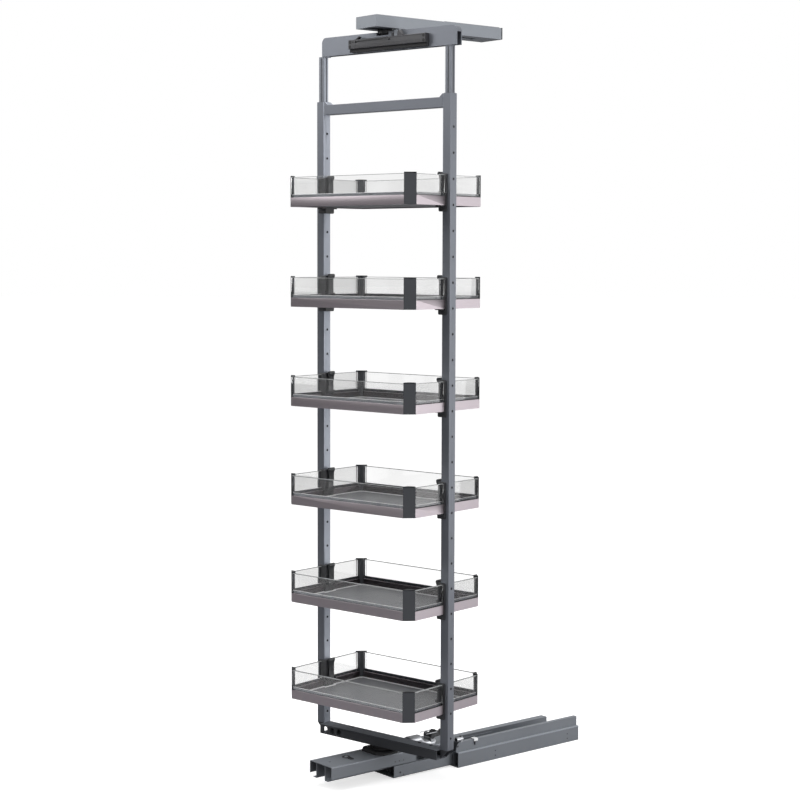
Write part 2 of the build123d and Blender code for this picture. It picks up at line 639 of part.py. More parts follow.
def upper_crossbar():
    """Deep channel, open below, with the upper pivot pin in a notch in its top."""
    foot = TOP_BAR_FOOT_Z
    top = TOP_BAR_TOP_Z
    left, right = TOP_BAR_X
    wall = TOP_BAR_WALL
    side = window(TOP_BAR_X, (foot, top))
    side = round_corners(side, TOP_BAR_CORNER, lambda c: c.Y > foot + OVERRUN)
    hollow = window((left + wall, right - wall), (foot - TOP_BAR_CORNER, top - wall))
    hollow = round_corners(hollow, TOP_BAR_CORNER - wall, lambda c: c.Y > foot + OVERRUN)
    inside = both_ways(TOP_BAR_CAVITY_HALF)
    crossbar = run_along_y(side, both_ways(TOP_BAR_HALF_DEPTH)) - run_along_y(hollow, inside)
    open_end = (foot - OVERRUN, top - TOP_BAR_END_BAND)
    for end in ((left - OVERRUN, left + wall), (right - wall, right + OVERRUN)):
        crossbar -= bar(end, inside, open_end)
    notch_foot = top - NOTCH_DEPTH
    crossbar -= bar(both_ways(NOTCH_HALF_WIDTH), both_ways(TOP_BAR_HALF_DEPTH + OVERRUN),
                    (notch_foot, top + OVERRUN))
    crossbar += bar(both_ways(BOSS_HALF_WIDTH), both_ways(TOP_BAR_HALF_DEPTH - wall / 2),
                    (notch_foot - BOSS_HEIGHT, notch_foot))
    pin_z = (notch_foot - BOSS_HEIGHT / 2, notch_foot + PIVOT_PIN_RISE)
    pin = run_along_z(disc(PIVOT_PIN_RADIUS, 0, 0), pin_z)
    return crossbar + pin + keeper(top)


def keeper(z):
    """Small rounded bracket on the crossbar beside the pivot."""
    side = window((KEEPER_X - KEEPER_LENGTH / 2, KEEPER_X + KEEPER_LENGTH / 2),
                  (z - OVERRUN, z + KEEPER_HEIGHT))
    side = round_corners(side, KEEPER_RADIUS, lambda c: c.Y > z)
    return run_along_y(side, both_ways(KEEPER_DEPTH / 2))


def damper_housing():
    """Long housing on the near side of the crossbar, with a track for its catch."""
    back = -TOP_BAR_HALF_DEPTH
    front = back - DAMPER_DEPTH
    foot = TOP_BAR_FOOT_Z + DAMPER_ABOVE_BAR_FOOT
    top = foot + DAMPER_HEIGHT
    x = (DAMPER_LEFT, DAMPER_LEFT + DAMPER_LENGTH)
    section = window((front, back), (foot, top))
    section = round_corners(section, DAMPER_EDGE, lambda c: c.X < back - OVERRUN)
    section += window((back - DAMPER_SKIRT_DEPTH, back), (foot - DAMPER_SKIRT_HEIGHT, foot))
    housing = run_along_x(section, x)
    housing -= bar((TRACK_LEFT, TRACK_RIGHT), (front - OVERRUN, front + TRACK_SINK), track_z(top))
    middle = (foot + top) / 2
    for across in (x[0] + DAMPER_SCREW_INSET, x[1] - DAMPER_SCREW_INSET):
        for side in (-1, 1):
            sink = disc(DAMPER_SCREW_RADIUS, across, middle + side * DAMPER_SCREW_PITCH / 2)
            housing -= run_along_y(sink, (front - OVERRUN, front + DAMPER_SCREW_SINK))
    return housing


def track_z(top):
    """The two heights of the catch's track."""
    return (top - TRACK_BELOW_TOP - TRACK_HEIGHT, top - TRACK_BELOW_TOP)


def damper_catch():
    """Sliding catch in the damper's track, with a hooked nib."""
    front = -TOP_BAR_HALF_DEPTH - DAMPER_DEPTH
    top = TOP_BAR_FOOT_Z + DAMPER_ABOVE_BAR_FOOT + DAMPER_HEIGHT
    low, high = track_z(top)
    z = (low + RUNNING_GAP, high - RUNNING_GAP)
    right = TRACK_RIGHT - RUNNING_GAP
    slider = bar((right - HOOK_LENGTH, right), (front, front + TRACK_SINK - RUNNING_GAP), z)
    outline = straight_outline([
        (right - HOOK_NIB_LENGTH, front), (right - HOOK_NIB_LENGTH / 2, front - HOOK_NIB_REACH),
        (right, front - HOOK_NIB_REACH), (right, front)])
    return slider + run_along_z(outline, z)


def top_slide():
    """Box guide with an upper chamber for the fixed rail and a lower one for the trolley."""
    half = SLIDE_HALF_WIDTH
    wall = SLIDE_WALL
    foot, top = SLIDE_FOOT_Z, SLIDE_TOP_Z
    middle = (foot + top) / 2
    near = -SLIDE_TO_PIVOT
    far = near + SLIDE_LENGTH
    inner = both_ways(half - wall)
    section = window(both_ways(half), (foot, top))
    section -= window(inner, (foot + wall, middle - wall / 2))
    section -= window(inner, (middle + wall / 2, top - wall))
    section -= window(both_ways(SLIDE_TOP_SLOT / 2), (top - wall - OVERRUN, top + OVERRUN))
    box = run_along_y(section, (near + wall, far))
    box += bar(both_ways(half), (near, near + wall), (foot, top))
    slot = bar(both_ways(SLIDE_FOOT_SLOT / 2), (near + wall, SLIDE_FOOT_SLOT_END),
               (foot - OVERRUN, foot + wall + OVERRUN))
    return box - slot


def top_rail():
    """Fixed rail: a screwed plate, a stem and an inverted channel that the slide hangs on."""
    chamber_foot = (SLIDE_FOOT_Z + SLIDE_TOP_Z + SLIDE_WALL) / 2 + RUNNING_GAP
    chamber_top = SLIDE_TOP_Z - SLIDE_WALL - RUNNING_GAP
    plate_foot = SLIDE_TOP_Z + TOP_RAIL_GAP
    plate_top = plate_foot + TOP_RAIL_SHEET
    sheet = TOP_RAIL_SHEET
    foot_half = SLIDE_HALF_WIDTH - SLIDE_WALL - RUNNING_GAP
    section = window(both_ways(foot_half), (chamber_foot, chamber_top))
    section -= window(both_ways(foot_half - sheet), (chamber_foot - OVERRUN, chamber_top - sheet))
    section += window(both_ways(TOP_RAIL_STEM / 2), (chamber_top, plate_foot))
    section += window(both_ways(TOP_RAIL_PLATE_WIDTH / 2), (plate_foot, plate_top))
    rail = run_along_y(section, (TOP_RAIL_NEAR_Y, TOP_RAIL_NEAR_Y + TOP_RAIL_LENGTH))
    middle = TOP_RAIL_NEAR_Y + TOP_RAIL_LENGTH / 2
    for side in (-1, 1):
        for end in (-1, 1):
            place = Pos(side * TOP_SCREW_SPACING_X / 2, middle + end * TOP_SCREW_SPACING_Y / 2, 0)
            rail -= place * screw_sink(plate_foot, plate_top)
    return rail


def screw_sink(foot, top):
    """Countersunk hole, wide at its foot, for a screw that is driven upwards."""
    depth = TOP_SCREW_SINK_RADIUS - TOP_SCREW_RADIUS
    profile = straight_outline([(0, foot - OVERRUN), (TOP_SCREW_SINK_RADIUS, foot - OVERRUN),
                                (TOP_SCREW_SINK_RADIUS, foot), (TOP_SCREW_RADIUS, foot + depth),
                                (TOP_SCREW_RADIUS, top + OVERRUN), (0, top + OVERRUN)])
    return revolve(Plane.XZ * profile, Axis.Z)


def top_trolley():
    """Four-wheeled carriage in the slide, with the upper pivot disc below it."""
    chamber = (SLIDE_FOOT_Z + SLIDE_WALL, (SLIDE_FOOT_Z + SLIDE_TOP_Z - SLIDE_WALL) / 2)
    wheel_z = (chamber[0] + chamber[1]) / 2
    wheel_radius = (chamber[1] - chamber[0]) / 2 - RUNNING_GAP
    body_foot = chamber[0] + 2 * RUNNING_GAP
    disc_top = SLIDE_FOOT_Z - RUNNING_GAP
    disc_foot = disc_top - DISC_HEIGHT
    trolley = run_along_z(RectangleRounded(2 * TROLLEY_HALF_WIDTH, TROLLEY_LENGTH, TROLLEY_CORNER),
                          (body_foot, chamber[1] - 2 * RUNNING_GAP))
    outer = TROLLEY_WHEEL_INNER_X + TROLLEY_WHEEL_WIDTH
    for end in (-1, 1):
        y = end * TROLLEY_WHEEL_PITCH / 2
        trolley += run_along_x(disc(TROLLEY_AXLE_RADIUS, y, wheel_z), both_ways(outer))
        for side in (-1, 1):
            span = sorted((side * TROLLEY_WHEEL_INNER_X, side * outer))
            trolley += run_along_x(disc(wheel_radius, y, wheel_z), span)
    trolley += run_along_z(disc(TROLLEY_NECK_RADIUS, 0, 0), (disc_top - DISC_EDGE, body_foot))
    plate = run_along_z(disc(DISC_RADIUS, 0, 0), (disc_foot, disc_top))
    plate = chamfer(plate.edges().filter_by(GeomType.CIRCLE), DISC_EDGE)
    bore = run_along_z(disc(PIVOT_PIN_RADIUS + FIT_GAP, 0, 0),
                       (disc_foot - OVERRUN, disc_foot + DISC_BORE_DEPTH))
    return trolley + plate - bore


def rim_run(ends, distance):
    """One straight run of extruded rim on the near side: box, glass groove and flange for the floor."""
    face = -distance
    inner = face + RIM_WIDTH
    groove = (face + RIM_SHEET, face + RIM_SHEET + GLASS_THICKNESS)
    section = window((face, inner), (0, RIM_HEIGHT))
    section -= window((face + RIM_SHEET, inner - RIM_SHEET), (RIM_SHEET, GLASS_FOOT_Z - RIM_SHEET))
    section -= window(groove, (GLASS_FOOT_Z, RIM_HEIGHT + OVERRUN))
    section -= window((groove[1] + RIM_LIP, inner - RIM_SHEET), (GLASS_FOOT_Z, RIM_HEIGHT - RIM_SHEET))
    flange = BASKET_CHAMFER - RIM_WIDTH - FIT_GAP
    section += window((inner, inner + flange), (0, RIM_SHEET))
    return run_along_x(section, ends)


def glass_run(ends, distance):
    """One clear panel in the groove of a run of rim on the near side."""
    face = -distance + RIM_SHEET
    return run_along_y(window(ends, (GLASS_FOOT_Z, GLASS_TOP_Z)), (face, face + GLASS_THICKNESS))


def around_the_rim(make_run):
    """Places whole runs on the long sides, and two runs beside the clip on each short side."""
    long_half = BASKET_HALF_LENGTH - BASKET_CHAMFER
    short_half = BASKET_HALF_DEPTH - BASKET_CHAMFER
    beside_clip = [(-short_half, -CLIP_HALF_WIDTH), (CLIP_HALF_WIDTH, short_half)]
    runs = []
    for half_circle in (0, 180):
        runs.append(Rot(0, 0, half_circle) * make_run(both_ways(long_half), BASKET_HALF_DEPTH))
        for ends in beside_clip:
            runs.append(Rot(0, 0, half_circle + 90) * make_run(ends, BASKET_HALF_LENGTH))
    return together(runs)


def basket_corner_posts():
    """Four hollow posts across the corners."""
    x = BASKET_HALF_LENGTH
    y = BASKET_HALF_DEPTH
    post = straight_outline([(x - BASKET_CHAMFER, y), (x, y - BASKET_CHAMFER),
                             (x - RIM_WIDTH, y - BASKET_CHAMFER),
                             (x - BASKET_CHAMFER, y - RIM_WIDTH)])
    post -= offset(post, -CORNER_POST_WALL, kind=Kind.INTERSECTION)
    post = run_along_z(post, (0, CORNER_POST_HEIGHT))
    far_posts = [post, post.mirror(Plane.YZ)]
    return together(far_posts + [shape.mirror(Plane.XZ) for shape in far_posts])


def basket_floor():
    """Floor board on the rim's flanges, cut back at the corner posts and the clips."""
    x = BASKET_HALF_LENGTH - RIM_WIDTH - FLOOR_GAP
    y = BASKET_HALF_DEPTH - RIM_WIDTH - FLOOR_GAP
    post_line = BASKET_HALF_LENGTH + BASKET_HALF_DEPTH - BASKET_CHAMFER - RIM_WIDTH
    cut = x + y - post_line + 2 * FLOOR_GAP
    outline = chamfer(window(both_ways(x), both_ways(y)).vertices(), cut)
    for side in (-1, 1):
        notch = sorted((side * (CLIP_FACE_X - FLOOR_GAP), side * (x + OVERRUN)))
        outline -= window(notch, both_ways(CLIP_HALF_WIDTH + FLOOR_GAP))
    return run_along_z(outline, (RIM_SHEET, RIM_SHEET + FLOOR_THICKNESS))


def right_clip():
    """Saddle round three sides of the right post, with wings under the rim and two hinge ears."""
    cheek_in = POST_WIDTH / 2 + RUNNING_GAP
    tip = POST_INNER_X + CLIP_REACH
    z = (-CLIP_HEIGHT_BELOW, CLIP_HEIGHT_ABOVE)
    side = window((CLIP_FACE_X, tip), z)
    side = round_corners(side, CLIP_CORNER, lambda c: c.X > POST_INNER_X)
    front = round_corners(window(both_ways(CLIP_HALF_WIDTH), z), CLIP_CORNER, lambda c: True)
    clip = run_along_y(side, both_ways(CLIP_HALF_WIDTH)) & run_along_x(front, (CLIP_FACE_X, tip))
    clip -= bar((POST_INNER_X, tip + OVERRUN), both_ways(cheek_in), (z[0] - OVERRUN, z[1] + OVERRUN))
    wings = bar((CLIP_FACE_X, BASKET_HALF_LENGTH - CLIP_WING_INSET),
                both_ways(CLIP_HALF_WIDTH + CLIP_WING_WIDTH), (-CLIP_WING_THICKNESS, 0))
    wings -= bar((CLIP_FACE_X, BASKET_HALF_LENGTH), both_ways(cheek_in + CLIP_CHEEK / 2),
                 (-CLIP_WING_THICKNESS, 0))
    latch_hole = disc(LATCH_HOLE_RADIUS, 0, LATCH_PIN_Z)
    clip = fused([clip, wings]) - run_along_x(latch_hole, (CLIP_FACE_X - OVERRUN, POST_INNER_X + OVERRUN))
    return clip + clip_ears()


def clip_ears():
    """Two ears that hold the finger lever's pin."""
    pin_x = CLIP_FACE_X - HINGE_INSET
    ear = disc(EAR_RADIUS, pin_x, HINGE_Z)
    ear += window((pin_x, CLIP_FACE_X), (HINGE_Z - EAR_RADIUS, HINGE_Z + EAR_RADIUS))
    ear -= disc(HINGE_PIN_RADIUS + FIT_GAP, pin_x, HINGE_Z)
    inner = EAR_INNER_Y
    outer = inner + EAR_THICKNESS
    return run_along_y(ear, (inner, outer)) + run_along_y(ear, (-outer, -inner))


def right_lever():
    """Wavy finger lever with its hinge pin and the latch pin that points at the post."""
    hinge = (CLIP_FACE_X - HINGE_INSET, HINGE_Z)
    waist = (CLIP_FACE_X - FINGER_WAIST_INSET, FINGER_WAIST_Z)
    tip = (CLIP_FACE_X - FINGER_TOP_INSET, FINGER_TOP_Z)
    lower = ((hinge[0] + waist[0]) / 2 + FINGER_BULGE, (hinge[1] + waist[1]) / 2)
    upper = ((waist[0] + tip[0]) / 2 + FINGER_BULGE, (waist[1] + tip[1]) / 2)
    side = trace(ThreePointArc(hinge, lower, waist), FINGER_THICKNESS)
    side += trace(ThreePointArc(waist, upper, tip), FINGER_THICKNESS)
    side += disc(FINGER_THICKNESS / 2, *waist)
    side += disc(FINGER_BARREL_RADIUS, *hinge)
    side += disc(FINGER_ROLL_RADIUS, *tip)
    blade = run_along_y(side, both_ways(FINGER_TOP_HALF_WIDTH))
    blade = blade & run_along_x(finger_front(), (tip[0] - CLIP_BACK, CLIP_FACE_X))
    pin = run_along_y(disc(HINGE_PIN_RADIUS, *hinge), both_ways(EAR_INNER_Y + EAR_THICKNESS))
    latch = run_along_x(disc(LATCH_PIN_RADIUS, 0, LATCH_PIN_Z),
                        (waist[0] - FINGER_THICKNESS, POST_INNER_X - RUNNING_GAP))
    return fused([blade, pin, latch])


def finger_front():
    """The lever seen from the front: narrow at its waist and wide at its top."""
    foot_z = HINGE_Z - FINGER_BARREL_RADIUS
    top_z = FINGER_TOP_Z + FINGER_ROLL_RADIUS
    foot = FINGER_FOOT_HALF_WIDTH
    waist = FINGER_WAIST_HALF_WIDTH
    top = FINGER_TOP_HALF_WIDTH
    middle_z = (foot_z + top_z) / 2
    sides = [Line((-foot, foot_z), (foot, foot_z)),
             ThreePointArc((foot, foot_z), (waist, middle_z), (top, top_z)),
             Line((top, top_z), (-top, top_z)),
             ThreePointArc((-top, top_z), (-waist, middle_z), (-foot, foot_z))]
    return make_face(sides)


def half_turn(shape):
    """The same piece on the opposite side of the frame."""
    return Rot(0, 0, 180) * shape


def basket_pieces():
    """The pieces of one basket, drawn with its underside at height zero."""
    clip = right_clip()
    lever = right_lever()
    return {
        "rim": around_the_rim(rim_run),
        "floor": basket_floor(),
        "glass": around_the_rim(glass_run),
        "corner_posts": basket_corner_posts(),
        "clips": together([half_turn(clip), clip]),
        "lever_left": half_turn(lever),
        "lever_right": lever,
    }


def swinging_pieces():
    """Everything that turns with the frame, drawn square to the cabinet."""
    pieces = {
        "bottom_crossbar": bottom_crossbar(),
        "side_posts": side_posts(),
        "tie_bar": tie_bar(),
        "upper_tubes": upper_tubes(),
        "upper_crossbar": upper_crossbar(),
        "damper_housing": damper_housing(),
        "damper_catch": damper_catch(),
    }
    basket = basket_pieces()
    for number in range(BASKET_COUNT):
        hole = FIRST_BASKET_HOLE + number * HOLES_PER_BASKET
        lift = Pos(0, 0, FIRST_HOLE_Z + hole * HOLE_PITCH - LATCH_PIN_Z)
        for name, shape in basket.items():
            pieces[f"basket{number + 1}_{name}"] = lift * shape
    return pieces


def sliding_pieces():
    """The rails and everything on them that does not turn."""
    return {
        "cabinet_rail": cabinet_rail(),
        "rail_catch": rail_catch(),
        "middle_rail": middle_rail(),
        "middle_rollers": middle_rollers(),
        "front_rail": front_rail(),
        "swivel_base": swivel_base(),
        "lock_housing": lock_housing(),
        "lock_lever": lock_lever(),
        "top_slide": top_slide(),
        "top_rail": top_rail(),
        "top_trolley": top_trolley(),
    }


os.makedirs("parts", exist_ok=True)
to_base = Pos(0, -PIVOT_TO_BASE, 0)
turned = to_base * Rot(0, 0, FRAME_ANGLE)
for name, shape in sliding_pieces().items():
    export_step(to_base * shape, f"parts/{name}.step")
for name, shape in swinging_pieces().items():
    export_step(turned * shape, f"parts/{name}.step")
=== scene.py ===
import math

import bmesh
import bpy
from mathutils import Matrix, Vector


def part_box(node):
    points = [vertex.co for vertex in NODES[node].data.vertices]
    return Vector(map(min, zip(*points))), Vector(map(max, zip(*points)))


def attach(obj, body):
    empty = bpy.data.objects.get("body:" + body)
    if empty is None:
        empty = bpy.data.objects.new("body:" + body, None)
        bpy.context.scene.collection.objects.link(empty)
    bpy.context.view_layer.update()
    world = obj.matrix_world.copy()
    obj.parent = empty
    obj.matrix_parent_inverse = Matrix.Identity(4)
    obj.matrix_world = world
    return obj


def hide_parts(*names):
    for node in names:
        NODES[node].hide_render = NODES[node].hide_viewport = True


bl_info = {
    "name": "Pull out pantry frame",
    "version": (1, 0, 0),
    "blender": (4, 5, 0),
    "location": "3D View > Sidebar > Pantry",
    "description": "Finishes and small fittings of a pull out pantry frame with hanging baskets",
    "category": "Object",
}

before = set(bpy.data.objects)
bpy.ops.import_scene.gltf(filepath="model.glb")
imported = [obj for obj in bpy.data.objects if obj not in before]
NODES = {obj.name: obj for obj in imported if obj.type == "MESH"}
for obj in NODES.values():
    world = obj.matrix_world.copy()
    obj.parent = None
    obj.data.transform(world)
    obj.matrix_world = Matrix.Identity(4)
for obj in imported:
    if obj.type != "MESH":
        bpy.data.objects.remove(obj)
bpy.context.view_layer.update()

# The pivot of the swinging frame, in metres, and how far the frame is turned about it
PIVOT = Vector((0.0, -0.419, 0.0))
FRAME_TURN = math.radians(10.0)

# Directions square to the cabinet, and the same ones turned with the swinging frame
ALONG, ACROSS, UP = Vector((1, 0, 0)), Vector((0, 1, 0)), Vector((0, 0, 1))
FRAME_ALONG = Matrix.Rotation(FRAME_TURN, 3, "Z") @ ALONG
FRAME_ACROSS = Matrix.Rotation(FRAME_TURN, 3, "Z") @ ACROSS


def heights(node):
    """Foot and top of a CAD piece, in millimetres."""
    low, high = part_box(node)
    return low[2] * 1000, high[2] * 1000


def run(node):
    """Ends of a CAD piece along the rails, in millimetres from the pivot."""
    low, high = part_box(node)
    return (low[1] - PIVOT.y) * 1000, (high[1] - PIVOT.y) * 1000


def half_width(node):
    """How far a CAD piece reaches to the right of the pivot, in millimetres."""
    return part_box(node)[1][0] * 1000


# Posts, their rows of holes and the bars between them, in millimetres
POST_MIDDLE = 212.5
POST_HALF = 12.5
POST_TOP = heights("side_posts")[1]
FIRST_HOLE = 136.8
HOLE_PITCH = 64.0
HOLES = 25
TIE_TOP = heights("tie_bar")[1]
CROSSBAR_TOP = heights("bottom_crossbar")[1]

# One basket, in millimetres: distances from its middle, heights above the foot of its rim
BASKETS = sum(name.endswith("_rim") for name in NODES)
HALF_LENGTH = 212.0
HALF_DEPTH = 148.0
CORNER_CUT = 22.0
BOARD_INSET = 15.2
LONG_RUN = 189.7
SHORT_RUN = 125.7
CLIP_GAP = 17.0
BASKET_FOOT = heights("basket1_rim")[0]
BOARD_TOP = heights("basket1_floor")[1] - BASKET_FOOT
RIM_TOP = heights("basket1_rim")[1] - BASKET_FOOT
PANEL_TOP = heights("basket1_glass")[1] - BASKET_FOOT
CORNER_TOP = heights("basket1_corner_posts")[1] - BASKET_FOOT

# Finger lever, in millimetres: height above the rim's foot, distance from the middle, half thickness
# and half width, then the place of its hinge and latch pins
LEVER_STATIONS = (
    (26.8, 185.7, 1.2, 9.0), (28.0, 185.7, 2.6, 9.6), (30.0, 185.7, 3.2, 9.6), (33.0, 185.7, 2.4, 9.5),
    (36.0, 185.8, 1.5, 9.3), (47.0, 185.9, 1.3, 8.7), (57.0, 185.9, 1.3, 8.5), (66.0, 185.8, 1.6, 9.2),
    (71.5, 185.5, 2.4, 10.2), (75.0, 185.3, 3.6, 11.0), (78.0, 185.2, 4.4, 11.6), (80.5, 185.2, 4.0, 11.7),
    (82.5, 185.3, 2.8, 11.4), (83.6, 185.4, 1.0, 10.8))
LEVER_MIDDLE = 185.7
LEVER_HINGE = 30.0
LEVER_LATCH = 65.0

# Floor rails, catch, top slide and damper, in millimetres
FRONT_RAIL_RUN = run("front_rail")
FRONT_RAIL_FOOT, FRONT_RAIL_TOP = heights("front_rail")
FRONT_RAIL_SIDE = half_width("front_rail")
MIDDLE_RAIL_SIDE = half_width("middle_rail")
CABINET_RAIL_RUN = run("cabinet_rail")
CABINET_RAIL_SIDE = half_width("cabinet_rail")
HIGHER_RAIL_TOP = heights("cabinet_rail")[1]
CATCH_NEAR = run("rail_catch")[0]
CATCH_TOP = heights("rail_catch")[1]
CATCH_MIDDLE = 61.0
SLIDE_FOOT, SLIDE_TOP = heights("top_slide")
SLIDE_SIDE = half_width("top_slide")
SLIDE_END = run("top_slide")[1]
DAMPER_FOOT, DAMPER_TOP = heights("damper_housing")
DAMPER_FACE = -25.0

# Soft boxes: name, place and target in metres, width in metres, power in watts
SOFT_BOXES = (
    ("Front left", (-1.4, -2.3, 2.75), (0.0, -0.4, 1.9), 1.6, 25.0),
    ("Key", (0.6, -3.0, 3.6), (0.0, -0.4, 1.8), 2.0, 45.0),
    ("Right", (3.4, 0.8, 2.2), (0.0, -0.4, 1.0), 2.0, 16.0),
    ("Rail side", (3.2, 0.9, 0.7), (0.1, 0.0, 0.05), 1.0, 26.0),
    ("Low right", (2.4, 1.8, 0.8), (0.0, -0.3, 0.35), 2.0, 24.0),
    ("Top", (0.0, -0.6, 4.2), (0.0, -0.4, 0.0), 2.4, 85.0))

# Light of the surroundings: its bright side, its strengths and how fast it falls off. The floor's
# white is a share, and the floor and the view reach so many metres.
BRIGHT_SIDE = (0.80, 0.50, 0.33)
DIM_LIGHT = 0.16
ADDED_LIGHT = 1.35
LIGHT_FALL = 1.6
WHITE = (1.0, 1.0, 1.0, 1.0)
FLOOR_WHITE = 0.62
STAGE_REACH = 60.0

# Camera: place in metres, turn, tilt and roll in degrees, lens and sensor in millimetres
CAMERA_PLACE = (3.596, -3.331, 1.353)
CAMERA_TURN = 50.5
CAMERA_TILT = 4.549
CAMERA_ROLL = 0.155
CAMERA_LENS = 81.1
SENSOR_WIDTH = 36.0

# Sides of a round piece, of smaller ones and of the levers, and the angles of sharp edges
SEGMENTS = 32
KNOB_SEGMENTS = 24
SCREW_SEGMENTS = 20
SMALL_SEGMENTS = 16
LEVER_SEGMENTS = 20
SMOOTH_ANGLE = math.radians(35.0)
BEVEL_ANGLE = math.radians(40.0)


# Sizes and colours that a user would change

class FrameFinish(bpy.types.PropertyGroup):
    """Finish of the posts, crossbars and rails"""

    paint: bpy.props.FloatVectorProperty(
        name="Frame paint", description="Colour of the posts and crossbars",
        subtype="COLOR", size=3, min=0.0, max=1.0, default=(0.150, 0.160, 0.182))
    rail_paint: bpy.props.FloatVectorProperty(
        name="Rail paint", description="Colour of the floor rails and the top guide",
        subtype="COLOR", size=3, min=0.0, max=1.0, default=(0.165, 0.177, 0.195))
    dark_paint: bpy.props.FloatVectorProperty(
        name="Dark paint", description="Colour of the corner posts and the screws",
        subtype="COLOR", size=3, min=0.0, max=1.0, default=(0.052, 0.055, 0.062))
    # Painted highlight: the faces between the posts are made lighter in colour than the rest of the frame
    painted_inner_light_and_shade: bpy.props.FloatProperty(
        name="Inner faces", description="How much lighter the faces between the posts are",
        default=2.2, min=0.5, max=3.0)
    edge_round: bpy.props.FloatProperty(
        name="Edge rounding", description="Radius of the small rounding on pressed and sawn edges",
        unit="LENGTH", default=0.0004, min=0.0, max=0.002)
    screw_radius: bpy.props.FloatProperty(
        name="Screw radius", description="Radius of the small pan-head screws",
        unit="LENGTH", default=0.0028, min=0.001, max=0.006)


class BasketFinish(bpy.types.PropertyGroup):
    """Finish of the baskets"""

    rim: bpy.props.FloatVectorProperty(
        name="Rim", description="Colour of the anodised rims",
        subtype="COLOR", size=3, min=0.0, max=1.0, default=(0.43, 0.385, 0.41))
    board: bpy.props.FloatVectorProperty(
        name="Floor board", description="Colour of the floor boards",
        subtype="COLOR", size=3, min=0.0, max=1.0, default=(0.150, 0.155, 0.165))
    glass: bpy.props.FloatVectorProperty(
        name="Panels", description="Tint of the clear panels",
        subtype="COLOR", size=3, min=0.0, max=1.0, default=(0.93, 0.93, 0.93))
    # Painted shade: the panels of the short ends are darkened in colour, for the dark reflection seen in them
    painted_end_shade: bpy.props.FloatProperty(
        name="End panels", description="How much darker the panels of the short ends are",
        default=0.74, min=0.2, max=1.0)
    # Painted shade: the inner faces of the rims are made darker in colour
    painted_inner_light_and_shade: bpy.props.FloatProperty(
        name="Inner rim", description="How much darker the inner faces of the rims are",
        default=0.20, min=0.1, max=1.5)
    cap_height: bpy.props.FloatProperty(
        name="Cap height", description="Height of the plastic caps on the corner posts",
        unit="LENGTH", default=0.003, min=0.001, max=0.006)
    strip_width: bpy.props.FloatProperty(
        name="Strip width", description="Width of the bright strip round the floor board",
        unit="LENGTH", default=0.004, min=0.001, max=0.006)


class PlasticFinish(bpy.types.PropertyGroup):
    """Finish of the moulded and plated pieces"""

    black: bpy.props.FloatVectorProperty(
        name="Black plastic", description="Colour of the clips, levers and rollers",
        subtype="COLOR", size=3, min=0.0, max=1.0, default=(0.028, 0.029, 0.032))
    zinc: bpy.props.FloatVectorProperty(
        name="Zinc", description="Colour of the plated lock and catch",
        subtype="COLOR", size=3, min=0.0, max=1.0, default=(0.40, 0.41, 0.43))


# Shader nodes

def add_node(tree, kind, **settings):
    """A node with some of its settings filled in."""
    node = tree.nodes.new(kind)
    for name, value in settings.items():
        setattr(node, name, value)
    return node


def feed(tree, socket, value):
    """Links a socket to another one, or sets it to a plain value."""
    if isinstance(value, bpy.types.NodeSocket):
        tree.links.new(value, socket)
    else:
        socket.default_value = value


def math_node(tree, operation, *operands, clamp=False):
    """A Math node with each operand a socket or a number."""
    node = add_node(tree, "ShaderNodeMath", operation=operation, use_clamp=clamp)
    for socket, operand in zip(node.inputs, operands):
        feed(tree, socket, operand)
    return node.outputs[0]


def vector_node(tree, operation, *operands):
    """A Vector Math node with each operand a socket or a vector."""
    node = add_node(tree, "ShaderNodeVectorMath", operation=operation)
    for socket, operand in zip(node.inputs, operands):
        feed(tree, socket, operand)
    return node.outputs["Value" if operation == "DOT_PRODUCT" else "Vector"]


def scaled(tree, vector, gain):
    """A vector or colour times a number."""
    node = add_node(tree, "ShaderNodeVectorMath", operation="SCALE")
    feed(tree, node.inputs[0], vector)
    feed(tree, node.inputs["Scale"], gain)
    return node.outputs["Vector"]


def scaled_noise(tree, coordinates, scale, detail, stretch=(1.0, 1.0, 1.0)):
    """Noise over the swinging frame's directions, stretched by a mapping."""
    mapping = add_node(tree, "ShaderNodeMapping")
    mapping.inputs["Scale"].default_value = stretch
    mapping.inputs["Rotation"].default_value = (0.0, 0.0, -FRAME_TURN)
    noise = add_node(tree, "ShaderNodeTexNoise")
    noise.inputs["Detail"].default_value = detail
    tree.links.new(coordinates, mapping.inputs["Vector"])
    tree.links.new(mapping.outputs[0], noise.inputs["Vector"])
    feed(tree, noise.inputs["Scale"], scale)
    return noise.outputs["Fac"]


def varied(tree, value, swing, pattern):
    """A number moved up and down by a pattern around one half."""
    return math_node(tree, "MULTIPLY_ADD", math_node(tree, "SUBTRACT", pattern, 0.5), swing, value)


def tinted(tree, colour, swing, pattern):
    """A colour made lighter and darker by a pattern around one half."""
    return scaled(tree, colour, varied(tree, 1.0, swing, pattern))


def blended(tree, first, second, share):
    """Two patterns mixed, with the first one's share given."""
    rest = math_node(tree, "MULTIPLY", second, 1.0 - share)
    return math_node(tree, "MULTIPLY_ADD", first, share, rest)


def seen_by_eye(tree):
    """One for rays that come straight from the camera or through the clear panels, else nought."""
    path = add_node(tree, "ShaderNodeLightPath")
    return math_node(tree, "MAXIMUM", path.outputs["Is Camera Ray"], path.outputs["Is Transmission Ray"])


# Shader groups that more than one material uses

def new_group(name, inputs, outputs):
    """An empty shader group with named sockets, and its two end nodes."""
    group = bpy.data.node_groups.new(name, "ShaderNodeTree")
    for label, kind, default in inputs:
        socket = group.interface.new_socket(name=label, in_out="INPUT", socket_type=kind)
        socket.default_value = default
    for label, kind in outputs:
        group.interface.new_socket(name=label, in_out="OUTPUT", socket_type=kind)
    return group, group.nodes.new("NodeGroupInput"), group.nodes.new("NodeGroupOutput")


